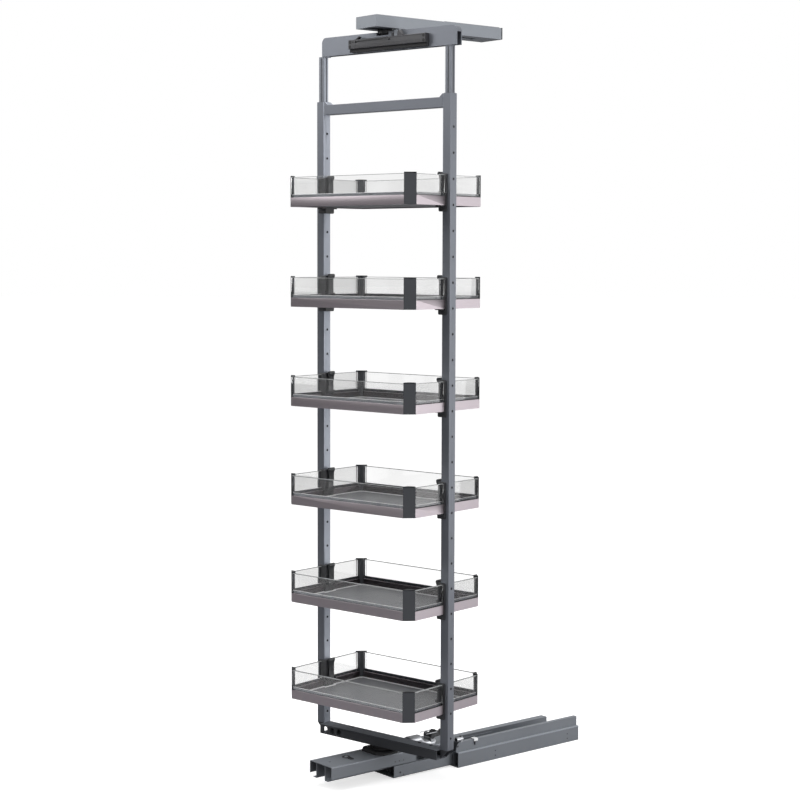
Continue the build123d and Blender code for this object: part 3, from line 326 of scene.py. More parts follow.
def new_effect(name, colour, tone, roughness, **others):
    """A group with the sockets that every finish has, some of its own, and the place on the piece."""
    numbers = {"Tone": tone, "Roughness": roughness, **others}
    inputs = [("Colour", "NodeSocketColor", (*colour, 1.0))]
    inputs += [(label, "NodeSocketFloat", value) for label, value in numbers.items()]
    outputs = [("Colour", "NodeSocketColor"), ("Roughness", "NodeSocketFloat"), ("Height", "NodeSocketFloat")]
    group, start, end = new_group(name, inputs, outputs)
    where = add_node(group, "ShaderNodeTexCoord").outputs["Object"]
    return group, start.outputs, end.inputs, where


def fill_effect(group, given, results, tone, gloss, gloss_swing, height):
    """Feeds an effect's results from its patterns of tone, gloss and height."""
    feed(group, results["Colour"], tinted(group, given["Colour"], given["Tone"], tone))
    feed(group, results["Roughness"], varied(group, given["Roughness"], gloss_swing, gloss))
    feed(group, results["Height"], height)


def build_painted_light_group():
    """Masks of the faces that look in towards the pivot and of those that look up, used to paint light and
    shade into colours.
    """
    group, start, end = new_group(
        "Facing", [("Sharpness", "NodeSocketFloat", 3.0)],
        [("Inward", "NodeSocketFloat"), ("Upward", "NodeSocketFloat")])
    sharpness = start.outputs["Sharpness"]
    least_rise = 0.6
    place = add_node(group, "ShaderNodeTexCoord")
    arm = vector_node(group, "SUBTRACT", place.outputs["Object"], PIVOT)
    level = vector_node(group, "MULTIPLY", arm, (1.0, 1.0, 0.0))
    unit = vector_node(group, "NORMALIZE", level)
    outward = vector_node(group, "DOT_PRODUCT", unit, place.outputs["Normal"])
    inward = math_node(group, "MULTIPLY", outward, -1.0)
    feed(group, end.inputs["Inward"], math_node(group, "MULTIPLY", inward, sharpness, clamp=True))
    parts = add_node(group, "ShaderNodeSeparateXYZ")
    group.links.new(place.outputs["Normal"], parts.inputs[0])
    rise = math_node(group, "SUBTRACT", parts.outputs["Z"], least_rise)
    feed(group, end.inputs["Upward"], math_node(group, "MULTIPLY", rise, sharpness, clamp=True))
    return group


def build_paint_group():
    """Powder paint: a fine peel with slow changes of tone and gloss."""
    group, given, results, where = new_effect(
        "Satin paint", (0.2, 0.2, 0.2), tone=0.12, roughness=0.4, Peel=900.0)
    slow = scaled_noise(group, where, scale=7.0, detail=3.0)
    fine = scaled_noise(group, where, scale=given["Peel"], detail=2.0)
    tone = blended(group, slow, fine, share=0.7)
    fill_effect(group, given, results, tone, gloss=slow, gloss_swing=0.16, height=fine)
    return group


def build_brushed_group():
    """Brushed metal: long level scratches with a slow change of tone."""
    group, given, results, where = new_effect(
        "Brushed lines", (0.5, 0.5, 0.5), tone=0.2, roughness=0.3, Scratches=60.0, Waviness=0.0)
    lines = scaled_noise(group, where, scale=given["Scratches"], detail=4.0, stretch=(0.06, 0.06, 30.0))
    feed(group, lines.node.inputs["Distortion"], given["Waviness"])
    slow = scaled_noise(group, where, scale=5.0, detail=2.0)
    tone = blended(group, lines, slow, share=0.6)
    fill_effect(group, given, results, tone, gloss=lines, gloss_swing=0.25, height=lines)
    return group


def build_moulded_group():
    """Moulded plastic: a spark-eroded grain of small cells."""
    group, given, results, where = new_effect(
        "Moulded grain", (0.03, 0.03, 0.03), tone=0.25, roughness=0.5, Grain=1600.0)
    cells = add_node(group, "ShaderNodeTexVoronoi", feature="SMOOTH_F1")
    feed(group, cells.inputs["Vector"], where)
    feed(group, cells.inputs["Scale"], given["Grain"])
    slow = scaled_noise(group, where, scale=30.0, detail=3.0)
    fill_effect(group, given, results, slow, gloss=slow, gloss_swing=0.2, height=cells.outputs["Distance"])
    return group


# Materials

MATERIALS = {}


def new_material(name):
    """An empty material, its node tree and its shader."""
    material = bpy.data.materials.new(name)
    material.use_nodes = True
    return material, material.node_tree, material.node_tree.nodes["Principled BSDF"]


def paint_light_and_shade_on_faces(tree, colour, painted_light_and_shade, inner, upper):
    """The colour with painted light and shade: its inward and upward faces made lighter or darker."""
    sides = add_node(tree, "ShaderNodeGroup", node_tree=painted_light_and_shade)
    for mask, gain in (("Inward", inner), ("Upward", upper)):
        colour = scaled(tree, colour, math_node(tree, "MULTIPLY_ADD", sides.outputs[mask], gain - 1.0, 1.0))
    return colour


def finish(name, group, colour, metallic=0.0, relief=0.08, depth=0.0002, painted_light_and_shade=None, **settings):
    """A material whose colour, roughness and relief come from one of the groups."""
    material, tree, shader = new_material(name)
    effect = add_node(tree, "ShaderNodeGroup", node_tree=group)
    effect.inputs["Colour"].default_value = (*colour, 1.0)
    for label, value in settings.items():
        effect.inputs[label].default_value = value
    bump = add_node(tree, "ShaderNodeBump")
    bump.inputs["Strength"].default_value = relief
    bump.inputs["Distance"].default_value = depth
    shader.inputs["Metallic"].default_value = metallic
    base = effect.outputs["Colour"]
    # Painted light and shade: inward and upward faces made lighter or darker in colour
    if painted_light_and_shade:
        base = paint_light_and_shade_on_faces(tree, base, *painted_light_and_shade)
    tree.links.new(base, shader.inputs["Base Color"])
    tree.links.new(effect.outputs["Roughness"], shader.inputs["Roughness"])
    tree.links.new(effect.outputs["Height"], bump.inputs["Height"])
    tree.links.new(bump.outputs["Normal"], shader.inputs["Normal"])
    return material


def clear_glass(name, colour, painted_end_shade):
    """Clear panel with slow changes of tint, darkened where it closes the short ends as painted shade for the
    dark reflection there.
    """
    material, tree, shader = new_material(name)
    shader.inputs["Transmission Weight"].default_value = 1.0
    shader.inputs["IOR"].default_value = 1.45
    shader.inputs["Roughness"].default_value = 0.0
    place = add_node(tree, "ShaderNodeTexCoord")
    along = vector_node(tree, "DOT_PRODUCT", place.outputs["Normal"], FRAME_ALONG)
    squared = math_node(tree, "MULTIPLY", along, along)
    gain = math_node(tree, "MULTIPLY_ADD", squared, painted_end_shade - 1.0, 1.0)
    cloud = scaled_noise(tree, place.outputs["Object"], scale=5.0, detail=1.0)
    tint = tinted(tree, scaled(tree, colour, gain), swing=0.16, pattern=cloud)
    tree.links.new(tint, shader.inputs["Base Color"])
    return material


def shade(colour, gain):
    """A colour made lighter or darker."""
    return [gain * share for share in colour]


def make_paints(metal, paint, painted_light_and_shade):
    """Powder paints of the posts, crossbars, rails and plates."""
    MATERIALS.update(
        # Frame paint with a painted highlight: its faces that look in between the posts are made lighter
        frame_paint=finish("Anthracite paint", paint, metal.paint, metallic=0.55, Roughness=0.40,
                           painted_light_and_shade=(painted_light_and_shade, metal.painted_inner_light_and_shade, 1.0)),
        # Rail paint with painted light: inward faces darker as painted shade, upward faces lighter as a
        # painted highlight
        rail_paint=finish("Grey rail paint", paint, metal.rail_paint, metallic=0.45, Roughness=0.42,
                          painted_light_and_shade=(painted_light_and_shade, 0.8, 1.5)),
        slide_paint=finish("Slide paint", paint, shade(metal.rail_paint, 1.25), metallic=0.45,
                           Roughness=0.42),
        # Painted highlight: rail paint made lighter for the rounded bend, for the light caught along it
        bend=finish("Rail paint on the bend", paint, shade(metal.rail_paint, 1.7), metallic=0.45,
                    Roughness=0.36),
        dark_paint=finish("Dark satin paint", paint, metal.dark_paint, metallic=0.3, Roughness=0.42),
        # Near black: partly the plate's own dark paint, partly painted shade from the crossbar above it
        plate=finish("Dark plate paint and painted shade", paint, (0.006, 0.006, 0.007), Roughness=0.6),
        # Painted shade and highlight: frame paint darkened for the low crossbar, with its upward faces made
        # much lighter
        bar_paint=finish("Crossbar paint", paint, shade(metal.paint, 0.30), metallic=0.1, Roughness=0.60,
                         painted_light_and_shade=(painted_light_and_shade, 1.0, 4.5)),
        # Painted shade: the bead's inward faces are darkened in colour
        bead=finish("Grey bead", paint, metal.rail_paint, metallic=0.3, Roughness=0.4,
                    painted_light_and_shade=(painted_light_and_shade, 0.2, 1.0)))


def make_basket_finishes(baskets, brushed, moulded, painted_light_and_shade):
    """Rims, bright strips, panels and boards of the baskets."""
    MATERIALS.update(
        # Rim with painted light: its inner faces darkened as painted shade, its upward faces lighter as a
        # painted highlight
        rim=finish("Champagne aluminium", brushed, baskets.rim, metallic=1.0, depth=0.0001,
                   Roughness=0.42, Tone=0.12, painted_light_and_shade=(painted_light_and_shade, baskets.painted_inner_light_and_shade, 1.7)),
        # A real strip, in a near white matt colour that also stands in for the highlight along the board's
        # edge and on the beads
        strip=finish("Bright aluminium", brushed, (0.92, 0.92, 0.93), metallic=0.1, relief=0.06,
                     depth=0.0001, Roughness=0.3, Tone=0.1),
        glass_edge=finish("Polished panel edge", brushed, (0.30, 0.31, 0.31), relief=0.05, depth=0.0001,
                          Roughness=0.25, Tone=0.1),
        board=finish("Grey board", moulded, baskets.board, relief=0.15, Roughness=0.45, Tone=0.1,
                     Grain=900.0),
        glass=clear_glass("Clear panel", baskets.glass, baskets.painted_end_shade))


def make_plastics(plastic, brushed, moulded):
    """Plated and moulded small pieces."""
    MATERIALS.update(
        zinc=finish("Zinc plate", brushed, plastic.zinc, metallic=0.9, relief=0.1, depth=0.0001,
                    Roughness=0.38),
        black=finish("Black plastic", moulded, plastic.black, relief=0.12, Roughness=0.42),
        damper=finish("Damper plastic", brushed, (0.040, 0.040, 0.044), relief=0.3, Roughness=0.45, Tone=0.9,
                      Scratches=22.0, Waviness=2.0),
        rubber=finish("Rubber", moulded, (0.012, 0.012, 0.013), relief=0.15, Roughness=0.7),
        white=finish("White plastic", moulded, (0.75, 0.76, 0.77), Roughness=0.4, Tone=0.06))


# Places and meshes

def on_frame(along, across, height):
    """A point of the swinging frame, in millimetres, as a point of the row."""
    cos, sin = math.cos(FRAME_TURN), math.sin(FRAME_TURN)
    x = along * cos - across * sin
    y = along * sin + across * cos
    return Vector((x, y, height)) / 1000 + PIVOT


def upright_on_frame(along, height, across):
    """A point of the swinging frame for an outline that lies flat and runs upwards."""
    return on_frame(along, across, height)


def on_rails(x, y, height):
    """A point set out from the pivot, square to the cabinet, in millimetres."""
    return Vector((x, y, height)) / 1000 + PIVOT


def circle(count):
    """Angles of a full turn in equal steps."""
    return [math.tau * step / count for step in range(count)]


def oval(x, y, long, wide):
    """Points of an oval about a middle."""
    return [(x + long * math.cos(angle), y + wide * math.sin(angle)) for angle in circle(SEGMENTS)]


def add_rings(mesh, rings, closed=False):
    """Joins rings of points each to the next. A closed row also joins its ends, an open one caps them."""
    rings = [[mesh.verts.new(point) for point in ring] for ring in rings]
    pairs = list(zip(rings, rings[1:]))
    if closed:
        pairs.append((rings[-1], rings[0]))
    else:
        mesh.faces.new(rings[0])
        mesh.faces.new(rings[-1])
    for first, second in pairs:
        for index in range(len(first)):
            after = (index + 1) % len(first)
            mesh.faces.new([first[index], first[after], second[after], second[index]])


def add_prism(mesh, outline, start, end, place):
    """An outline in the first and third directions, run along the second from start to end."""
    add_rings(mesh, [[place(x, y, z) for x, z in outline] for y in (start, end)])


def add_block(mesh, corner, opposite, place):
    """A block between two opposite corners, put in place by a function."""
    (x, y, z), (far_x, far_y, far_z) = corner, opposite
    add_prism(mesh, [(x, z), (far_x, z), (far_x, far_z), (x, far_z)], y, far_y, place)


def add_band(mesh, outer, inner, low, high, place):
    """A flat band between two outlines with as many points, from one height to another."""
    section = ((outer, low), (outer, high), (inner, high), (inner, low))
    add_rings(mesh, [[place(x, y, z) for x, y in ring] for ring, z in section], closed=True)


def add_lathe(mesh, profile, centre, axis, segments=SEGMENTS):
    """A profile of (radius, height) pairs in millimetres, turned about an axis through a centre."""
    turn = UP.rotation_difference(axis.normalized()).to_matrix()
    rings = []
    for radius, height in profile:
        if radius == 0:
            rings.append([mesh.verts.new(centre + turn @ Vector((0, 0, height / 1000)))])
            continue
        spokes = [Vector((radius * math.cos(angle), radius * math.sin(angle), height)) / 1000
                  for angle in circle(segments)]
        rings.append([mesh.verts.new(centre + turn @ spoke) for spoke in spokes])
    for lower, upper in zip(rings, rings[1:]):
        for step in range(segments):
            after = (step + 1) % segments
            corners = [lower[step % len(lower)], lower[after % len(lower)],
                       upper[after % len(upper)], upper[step % len(upper)]]
            unique = list(dict.fromkeys(corners))
            if len(unique) > 2:
                mesh.faces.new(unique)


def peg(radius, low, high, inset=0.0, drop=0.0):
    """Profile of a round peg. Its free end may have a chamfer, as far in as inset and down as drop."""
    profile = [(0, low), (radius, low), (radius, high - drop), (radius - inset, high), (0, high)]
    return list(dict.fromkeys(profile))


def add_screw(mesh, centre, axis, radius, height):
    """A pan-head screw with a round recess."""
    profile = [(0, -1.0), (radius, -1.0), (radius, height * 0.45), (radius * 0.85, height * 0.85),
               (radius * 0.55, height), (radius * 0.40, height * 0.95), (radius * 0.32, height * 0.25),
               (0, height * 0.2)]
    add_lathe(mesh, profile, centre, axis, SCREW_SEGMENTS)


# Pieces

def shade_smooth(piece):
    """Smooth shading that keeps sharp corners."""
    data = piece.data
    data.polygons.foreach_set("use_smooth", [True] * len(data.polygons))
    data.set_sharp_from_angle(angle=SMOOTH_ANGLE)


def round_edges(piece, width):
    """A small bevel on the sharp edges."""
    bevel = piece.modifiers.new("Small rounding", "BEVEL")
    bevel.width = width
    bevel.segments = 2
    bevel.limit_method = "ANGLE"
    bevel.angle_limit = BEVEL_ANGLE


def add_object(name, mesh, material):
    """Turns a bmesh into an object of one material."""
    data = bpy.data.meshes.new(name)
    mesh.to_mesh(data)
    mesh.free()
    data.materials.append(material)
    piece = bpy.data.objects.new(name, data)
    bpy.context.scene.collection.objects.link(piece)
    return piece


def add_piece(name, mesh, material, body, smooth=True, bevel=0.0):
    """Turns a bmesh into a piece that rides on a body."""
    bmesh.ops.recalc_face_normals(mesh, faces=mesh.faces)
    piece = add_object(name, mesh, MATERIALS[material])
    if bevel:
        round_edges(piece, bevel)
    if smooth:
        shade_smooth(piece)
    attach(piece, body)
    return piece


def paint_nodes(finishes, bevel=0.0):
    """Gives each CAD piece its finish and, where asked, a small rounding of its edges."""
    for name, material in finishes.items():
        piece = NODES[name]
        for place in piece.material_slots:
            place.material = MATERIALS[material]
        if bevel:
            weld = piece.modifiers.new("Joined corners", "WELD")
            weld.merge_threshold = 0.00001
            round_edges(piece, bevel)


# Operators, one for each group of pieces

class PANTRY_OT_finishes(bpy.types.Operator):
    """Makes the shader groups and materials"""

    bl_idname = "pantry.finishes"
    bl_label = "Finishes"

    def execute(self, context):
        scene = context.scene
        paint = build_paint_group()
        brushed = build_brushed_group()
        moulded = build_moulded_group()
        painted_light_and_shade = build_painted_light_group()
        make_paints(scene.pantry_frame, paint, painted_light_and_shade)
        make_basket_finishes(scene.pantry_baskets, brushed, moulded, painted_light_and_shade)
        make_plastics(scene.pantry_plastic, brushed, moulded)
        return {"FINISHED"}


class PANTRY_OT_swinging_frame(bpy.types.Operator):
    """Finishes the posts and crossbars and adds their guides and brackets, and dark eyelets and plugs in
    their holes as painted shade
    """

    bl_idname = "pantry.swinging_frame"
    bl_label = "Swinging frame"

    def execute(self, context):
        edge = context.scene.pantry_frame.edge_round
        painted = ("side_posts", "tie_bar", "upper_tubes", "upper_crossbar")
        paint_nodes(dict.fromkeys(painted, "frame_paint"), edge)
        # The lower crossbar gets frame paint with painted shade and a painted highlight on its top
        paint_nodes({"bottom_crossbar": "bar_paint"}, edge)
        self.tube_guides()
        self.tie_brackets()
        self.tube_grooves()
        self.hole_shade_linings()
        self.crossbar_hole_shade_plugs()
        return {"FINISHED"}

    def tube_guides(self):
        """Plastic collars in the tops of the posts, in front of the tubes and behind them."""
        mesh = bmesh.new()
        bore, tube = 10.3, 7.7
        foot, top = POST_TOP - 14.0, POST_TOP + 0.8
        for side in (-1, 1):
            left, right = side * POST_MIDDLE - bore, side * POST_MIDDLE + bore
            for face in (-1, 1):
                add_block(mesh, (left, face * tube, foot), (right, face * bore, top), on_frame)
        add_piece("tube_guides", mesh, "black", "swinging_frame",
                  smooth=False, bevel=0.0003)

    def tie_brackets(self):
        """Small brackets in the corners between the tie bar and the posts."""
        mesh = bmesh.new()
        foot, top, half = TIE_TOP - 0.2, POST_TOP - 0.4, 11.5
        post, reach = POST_MIDDLE - POST_HALF + 0.2, 188.0
        for side in (-1, 1):
            outline = [(side * post, foot), (side * reach, foot), (side * (reach + 1), foot + 2),
                       (side * (reach + 7), top - 2), (side * (reach + 9), top), (side * post, top)]
            add_prism(mesh, outline, -half, half, on_frame)
        add_piece("tie_brackets", mesh, "frame_paint", "swinging_frame", bevel=0.0005)

    def tube_grooves(self):
        """Dark sliding strips in the grooves of the upper tubes."""
        mesh = bmesh.new()
        foot, top = 1650.0, 1868.0
        half, thick, deep, wide = 1.4, 0.6, 6.6, 9.1
        for side in (-1, 1):
            middle = side * POST_MIDDLE
            for face in (-1, 1):
                add_block(mesh, (middle - half, face * deep, foot),
                          (middle + half, face * (deep + thick), top), on_frame)
                add_block(mesh, (middle + face * wide, -half, foot),
                          (middle + face * (wide + thick), half, top), on_frame)
        add_piece("tube_grooves", mesh, "rubber", "upper_frame",
                  smooth=False, bevel=0.0001)

    def hole_shade_linings(self):
        """Black linings in the rows of holes of both posts, painted shade that darkens the holes."""
        mesh = bmesh.new()
        bore, barrel, flange = 1.9, 2.4, 3.2
        eyelet = [(bore, -2.0), (barrel, -2.0), (barrel, 0.0), (flange, 0.0), (flange, 0.2), (bore, 0.25),
                  (bore, -2.0)]
        for side in (-1, 1):
            for outward in (side, -side):
                face = side * POST_MIDDLE + outward * POST_HALF
                for hole in range(HOLES):
                    add_lathe(mesh, eyelet, on_frame(face, 0.0, FIRST_HOLE + HOLE_PITCH * hole),
                              outward * FRAME_ALONG, SMALL_SEGMENTS)
        add_piece("hole_shade_linings", mesh, "rubber", "swinging_frame")

    def crossbar_hole_shade_plugs(self):
        """Flat dark plugs over two holes in the top of the lower crossbar, painted shade where those holes
        look dark.
        """
        mesh = bmesh.new()
        plug = peg(radius=4.6, low=-0.5, high=0.8, inset=0.7, drop=0.5)
        across = 3.0
        for along in (120.0, 158.0):
            add_lathe(mesh, plug, on_frame(along, across, CROSSBAR_TOP), UP, KNOB_SEGMENTS)
        add_piece("crossbar_hole_shade_plugs", mesh, "rubber", "swinging_frame")


class PANTRY_OT_floor_rails(bpy.types.Operator):
    """Finishes the floor rails and adds their screws, adjuster, feet, bend and clip"""

    bl_idname = "pantry.floor_rails"
    bl_label = "Floor rails"

    def execute(self, context):
        sizes = context.scene.pantry_frame
        edge, screw = sizes.edge_round, sizes.screw_radius * 1000
        paint_nodes(dict.fromkeys(("cabinet_rail", "middle_rail", "front_rail"), "rail_paint"), edge)
        paint_nodes({"middle_rollers": "black"})
        # The swivel base's near black colour is partly painted shade from the crossbar above it
        paint_nodes({"swivel_base": "plate"}, edge)
        self.height_adjuster()
        self.front_rail_rivets()
        self.inner_leg_feet()
        self.middle_rail_screws(screw)
        self.cabinet_rail_screws(screw)
        self.cabinet_rail_bend_highlight()
        self.white_clip()
        return {"FINISHED"}

    def height_adjuster(self):
        """Adjuster in the front rail's top with an oval ring beside it, and its hub."""
        x, ring_x, y = -9.0, 10.0, -117.0
        centre = on_rails(x, y, FRONT_RAIL_TOP)
        mesh = bmesh.new()
        add_lathe(mesh, [(5.0, -2.5), (6.9, -2.5), (6.9, -0.2), (10.5, 0.0), (10.5, 1.2), (9.6, 2.0),
                         (7.6, 2.0), (6.6, 0.6), (5.0, 0.4), (5.0, -2.5)], centre, UP)
        add_band(mesh, oval(ring_x, y, long=10.0, wide=6.5), oval(ring_x, y, long=6.5, wide=3.0),
                 FRONT_RAIL_TOP - 0.1, FRONT_RAIL_TOP + 1.7, on_rails)
        add_piece("height_adjuster", mesh, "black", "pull_out")
        hub = bmesh.new()
        add_lathe(hub, [(0, -2.5), (5.0, -2.5), (5.0, 1.0), (4.4, 1.6), (2.4, 1.6), (2.0, 0.4), (0, 0.4)],
                  centre, UP)
        add_piece("height_adjuster_hub", hub, "rail_paint", "pull_out")

    def front_rail_rivets(self):
        """Three sunk rivets in the front rail's side."""
        mesh = bmesh.new()
        rivet = peg(radius=1.7, low=-1.8, high=-0.3, inset=0.5, drop=0.3)
        first, pitch, height = 2.0, 14.2, 44.3
        for place in range(3):
            add_lathe(mesh, rivet, on_rails(FRONT_RAIL_SIDE, first + pitch * place, height), ALONG,
                      SMALL_SEGMENTS)
        add_piece("front_rail_rivets", mesh, "black", "pull_out")

    def inner_leg_feet(self):
        """Feet folded outwards along the inner legs of the front rail."""
        mesh = bmesh.new()
        leg, reach, bend = 17.6, 31.0, 19.2
        foot, top, bend_top = FRONT_RAIL_FOOT, FRONT_RAIL_FOOT + 2.0, FRONT_RAIL_FOOT + 3.2
        for side in (-1, 1):
            outline = [(side * leg, foot), (side * (reach - 1.0), foot), (side * reach, foot + 0.8),
                       (side * reach, top), (side * (bend + 1.2), top), (side * bend, bend_top),
                       (side * leg, bend_top)]
            add_prism(mesh, outline, *FRONT_RAIL_RUN, on_rails)
        add_piece("inner_leg_feet", mesh, "rail_paint", "pull_out", bevel=0.0002)

    def middle_rail_screws(self, radius):
        """Roller screws in the sides of the middle rail."""
        mesh = bmesh.new()
        axle_height, stop_y, stop_height = 15.4, 26.0, 8.5
        for side in (-1, 1):
            face = side * MIDDLE_RAIL_SIDE
            for y in (15.0, 215.0):
                add_screw(mesh, on_rails(face, y, axle_height), side * ALONG, radius, height=1.2)
            add_screw(mesh, on_rails(face, stop_y, stop_height), side * ALONG, radius * 0.7, height=0.8)
        add_piece("middle_rail_screws", mesh, "dark_paint", "middle")

    def cabinet_rail_screws(self, radius):
        """Bolt on the higher rail and the small screws in the cabinet rail's side."""
        mesh = bmesh.new()
        bolt = on_rails(67.0, 199.2, 55.8)
        add_screw(mesh, bolt, ALONG, radius * 1.1, height=1.0)
        for y in (328.0, 600.0):
            for z in (24.0, 11.0):
                add_screw(mesh, on_rails(CABINET_RAIL_SIDE, y, z), ALONG, radius * 0.7, height=0.7)
        add_piece("cabinet_rail_screws", mesh, "dark_paint", "cabinet_side")

    def cabinet_rail_bend_highlight(self):
        """Rounded bend along the top edge of the cabinet rail's side, in lighter paint as a painted
        highlight.
        """
        mesh = bmesh.new()
        add_prism(mesh, [(70.5, 39.9), (71.5, 40.5), (74.2, 40.8), (75.5, 40.3), (75.8, 39.0), (75.5, 37.6),
                         (74.9, 37.2)], *CABINET_RAIL_RUN, on_rails)
        add_piece("cabinet_rail_bend_highlight", mesh, "bend", "cabinet_side")

    def white_clip(self):
        """White clip over the higher rail, and the black pin beside it."""
        clip = bmesh.new()
        left, wall, right = 54.6, 67.6, 68.6
        foot, rail, top = 60.0, HIGHER_RAIL_TOP, HIGHER_RAIL_TOP + 1.8
        near, far = 256.0, 270.0
        add_prism(clip, [(left, rail), (wall, rail), (wall, foot), (right, foot), (right, top), (left, top)],
                  near, far, on_rails)
        add_piece("white_clip", clip, "white", "cabinet_side", bevel=0.0003)
        mesh = bmesh.new()
        pin = peg(radius=1.9, low=0.0, high=9.6, inset=0.5, drop=0.6)
        pin_y, pin_foot = 259.0, 51.0
        add_lathe(mesh, pin, on_rails(right, pin_y, pin_foot), UP, SMALL_SEGMENTS)
        add_piece("clip_pin", mesh, "black", "cabinet_side")


class PANTRY_OT_lock(bpy.types.Operator):
    """Finishes the lock and the rail catch and adds their small fittings"""

    bl_idname = "pantry.lock"
    bl_label = "Lock and catch"

    def execute(self, context):
        edge = context.scene.pantry_frame.edge_round
        paint_nodes({"lock_housing": "zinc", "lock_lever": "black", "rail_catch": "zinc"}, edge)
        self.lock_screws()
        self.latch_block()
        self.lever_knob()
        self.catch_bore_shade_and_cap()
        self.stop_pad()
        return {"FINISHED"}

    def lock_screws(self):
        """Two screws in the lock's base."""
        mesh = bmesh.new()
        y, plate = 142.0, 82.1
        for x in (20.0, 38.0):
            add_screw(mesh, on_rails(x, y, plate), UP, radius=2.6, height=1.2)
        add_piece("lock_screws", mesh, "dark_paint", "pull_out")

    def latch_block(self):
        """Black cups over the lever's bearings and two bright rods beside it."""
        cups = bmesh.new()
        cup = [(0, 1.2), (6.2, 1.2), (7.4, 0.2), (7.4, -3.9), (6.6, -3.9), (6.6, 0.0), (0, 0.0)]
        right, left, axle_y, axle_height = 44.0, 14.0, 132.0, 90.3
        for side, face in ((1, right), (-1, left)):
            add_lathe(cups, cup, on_rails(face, axle_y, axle_height), side * ALONG)
        add_piece("lock_cups", cups, "black", "pull_out")
        rods = bmesh.new()
        rod = [(0, 0), (1.1, 0), (1.3, 0.4), (1.3, 37.6), (1.1, 38.0), (0, 38.0)]
        rod_end, rod_height = 110.0, 98.6
        for x in (15.8, 42.2):
            add_lathe(rods, rod, on_rails(x, rod_end, rod_height), ACROSS, SMALL_SEGMENTS)
        add_piece("lock_rods", rods, "zinc", "pull_out")

    def lever_knob(self):
        """Round knob of the lever's thumb arm."""
        mesh = bmesh.new()
        middle = on_rails(29.0, 149.0, 99.8)
        add_lathe(mesh, [(0, -3.6), (1.8, -3.1), (3.1, -1.8), (3.6, 0), (3.1, 1.8), (1.8, 3.1), (0, 3.6)],
                  middle, ALONG, KNOB_SEGMENTS)
        add_piece("lever_knob", mesh, "black", "release")

    def catch_bore_shade_and_cap(self):
        """Dark bush in the catch's bore, painted shade that darkens the bore, and a black cap on its knob."""
        mesh = bmesh.new()
        bore, knob = 72.1, 214.0
        add_lathe(mesh, [(0, 9.0), (4.9, 9.0), (4.9, 0.2), (4.2, 0.2), (4.2, 8.0), (0, 8.0)],
                  on_rails(CATCH_MIDDLE, CATCH_NEAR, bore), ACROSS)
        add_lathe(mesh, [(0, 0.1), (3.4, 0.1), (3.4, -1.4), (3.1, -1.9)],
                  on_rails(CATCH_MIDDLE, knob, CATCH_TOP), UP)
        add_piece("catch_bore_shade_and_cap", mesh, "rubber", "cabinet_side")

    def stop_pad(self):
        """Rubber pad on the lock that the lower crossbar comes to rest on."""
        mesh = bmesh.new()
        against_bar = on_frame(31.0, 12.6, 88.8)
        profile = [(0, 0), (6.3, 0), (6.5, 0.8), (6.5, 9), (5.6, 10), (0, 10)]
        add_lathe(mesh, profile, against_bar, FRAME_ACROSS)
        add_piece("lock_stop_pad", mesh, "rubber", "pull_out")


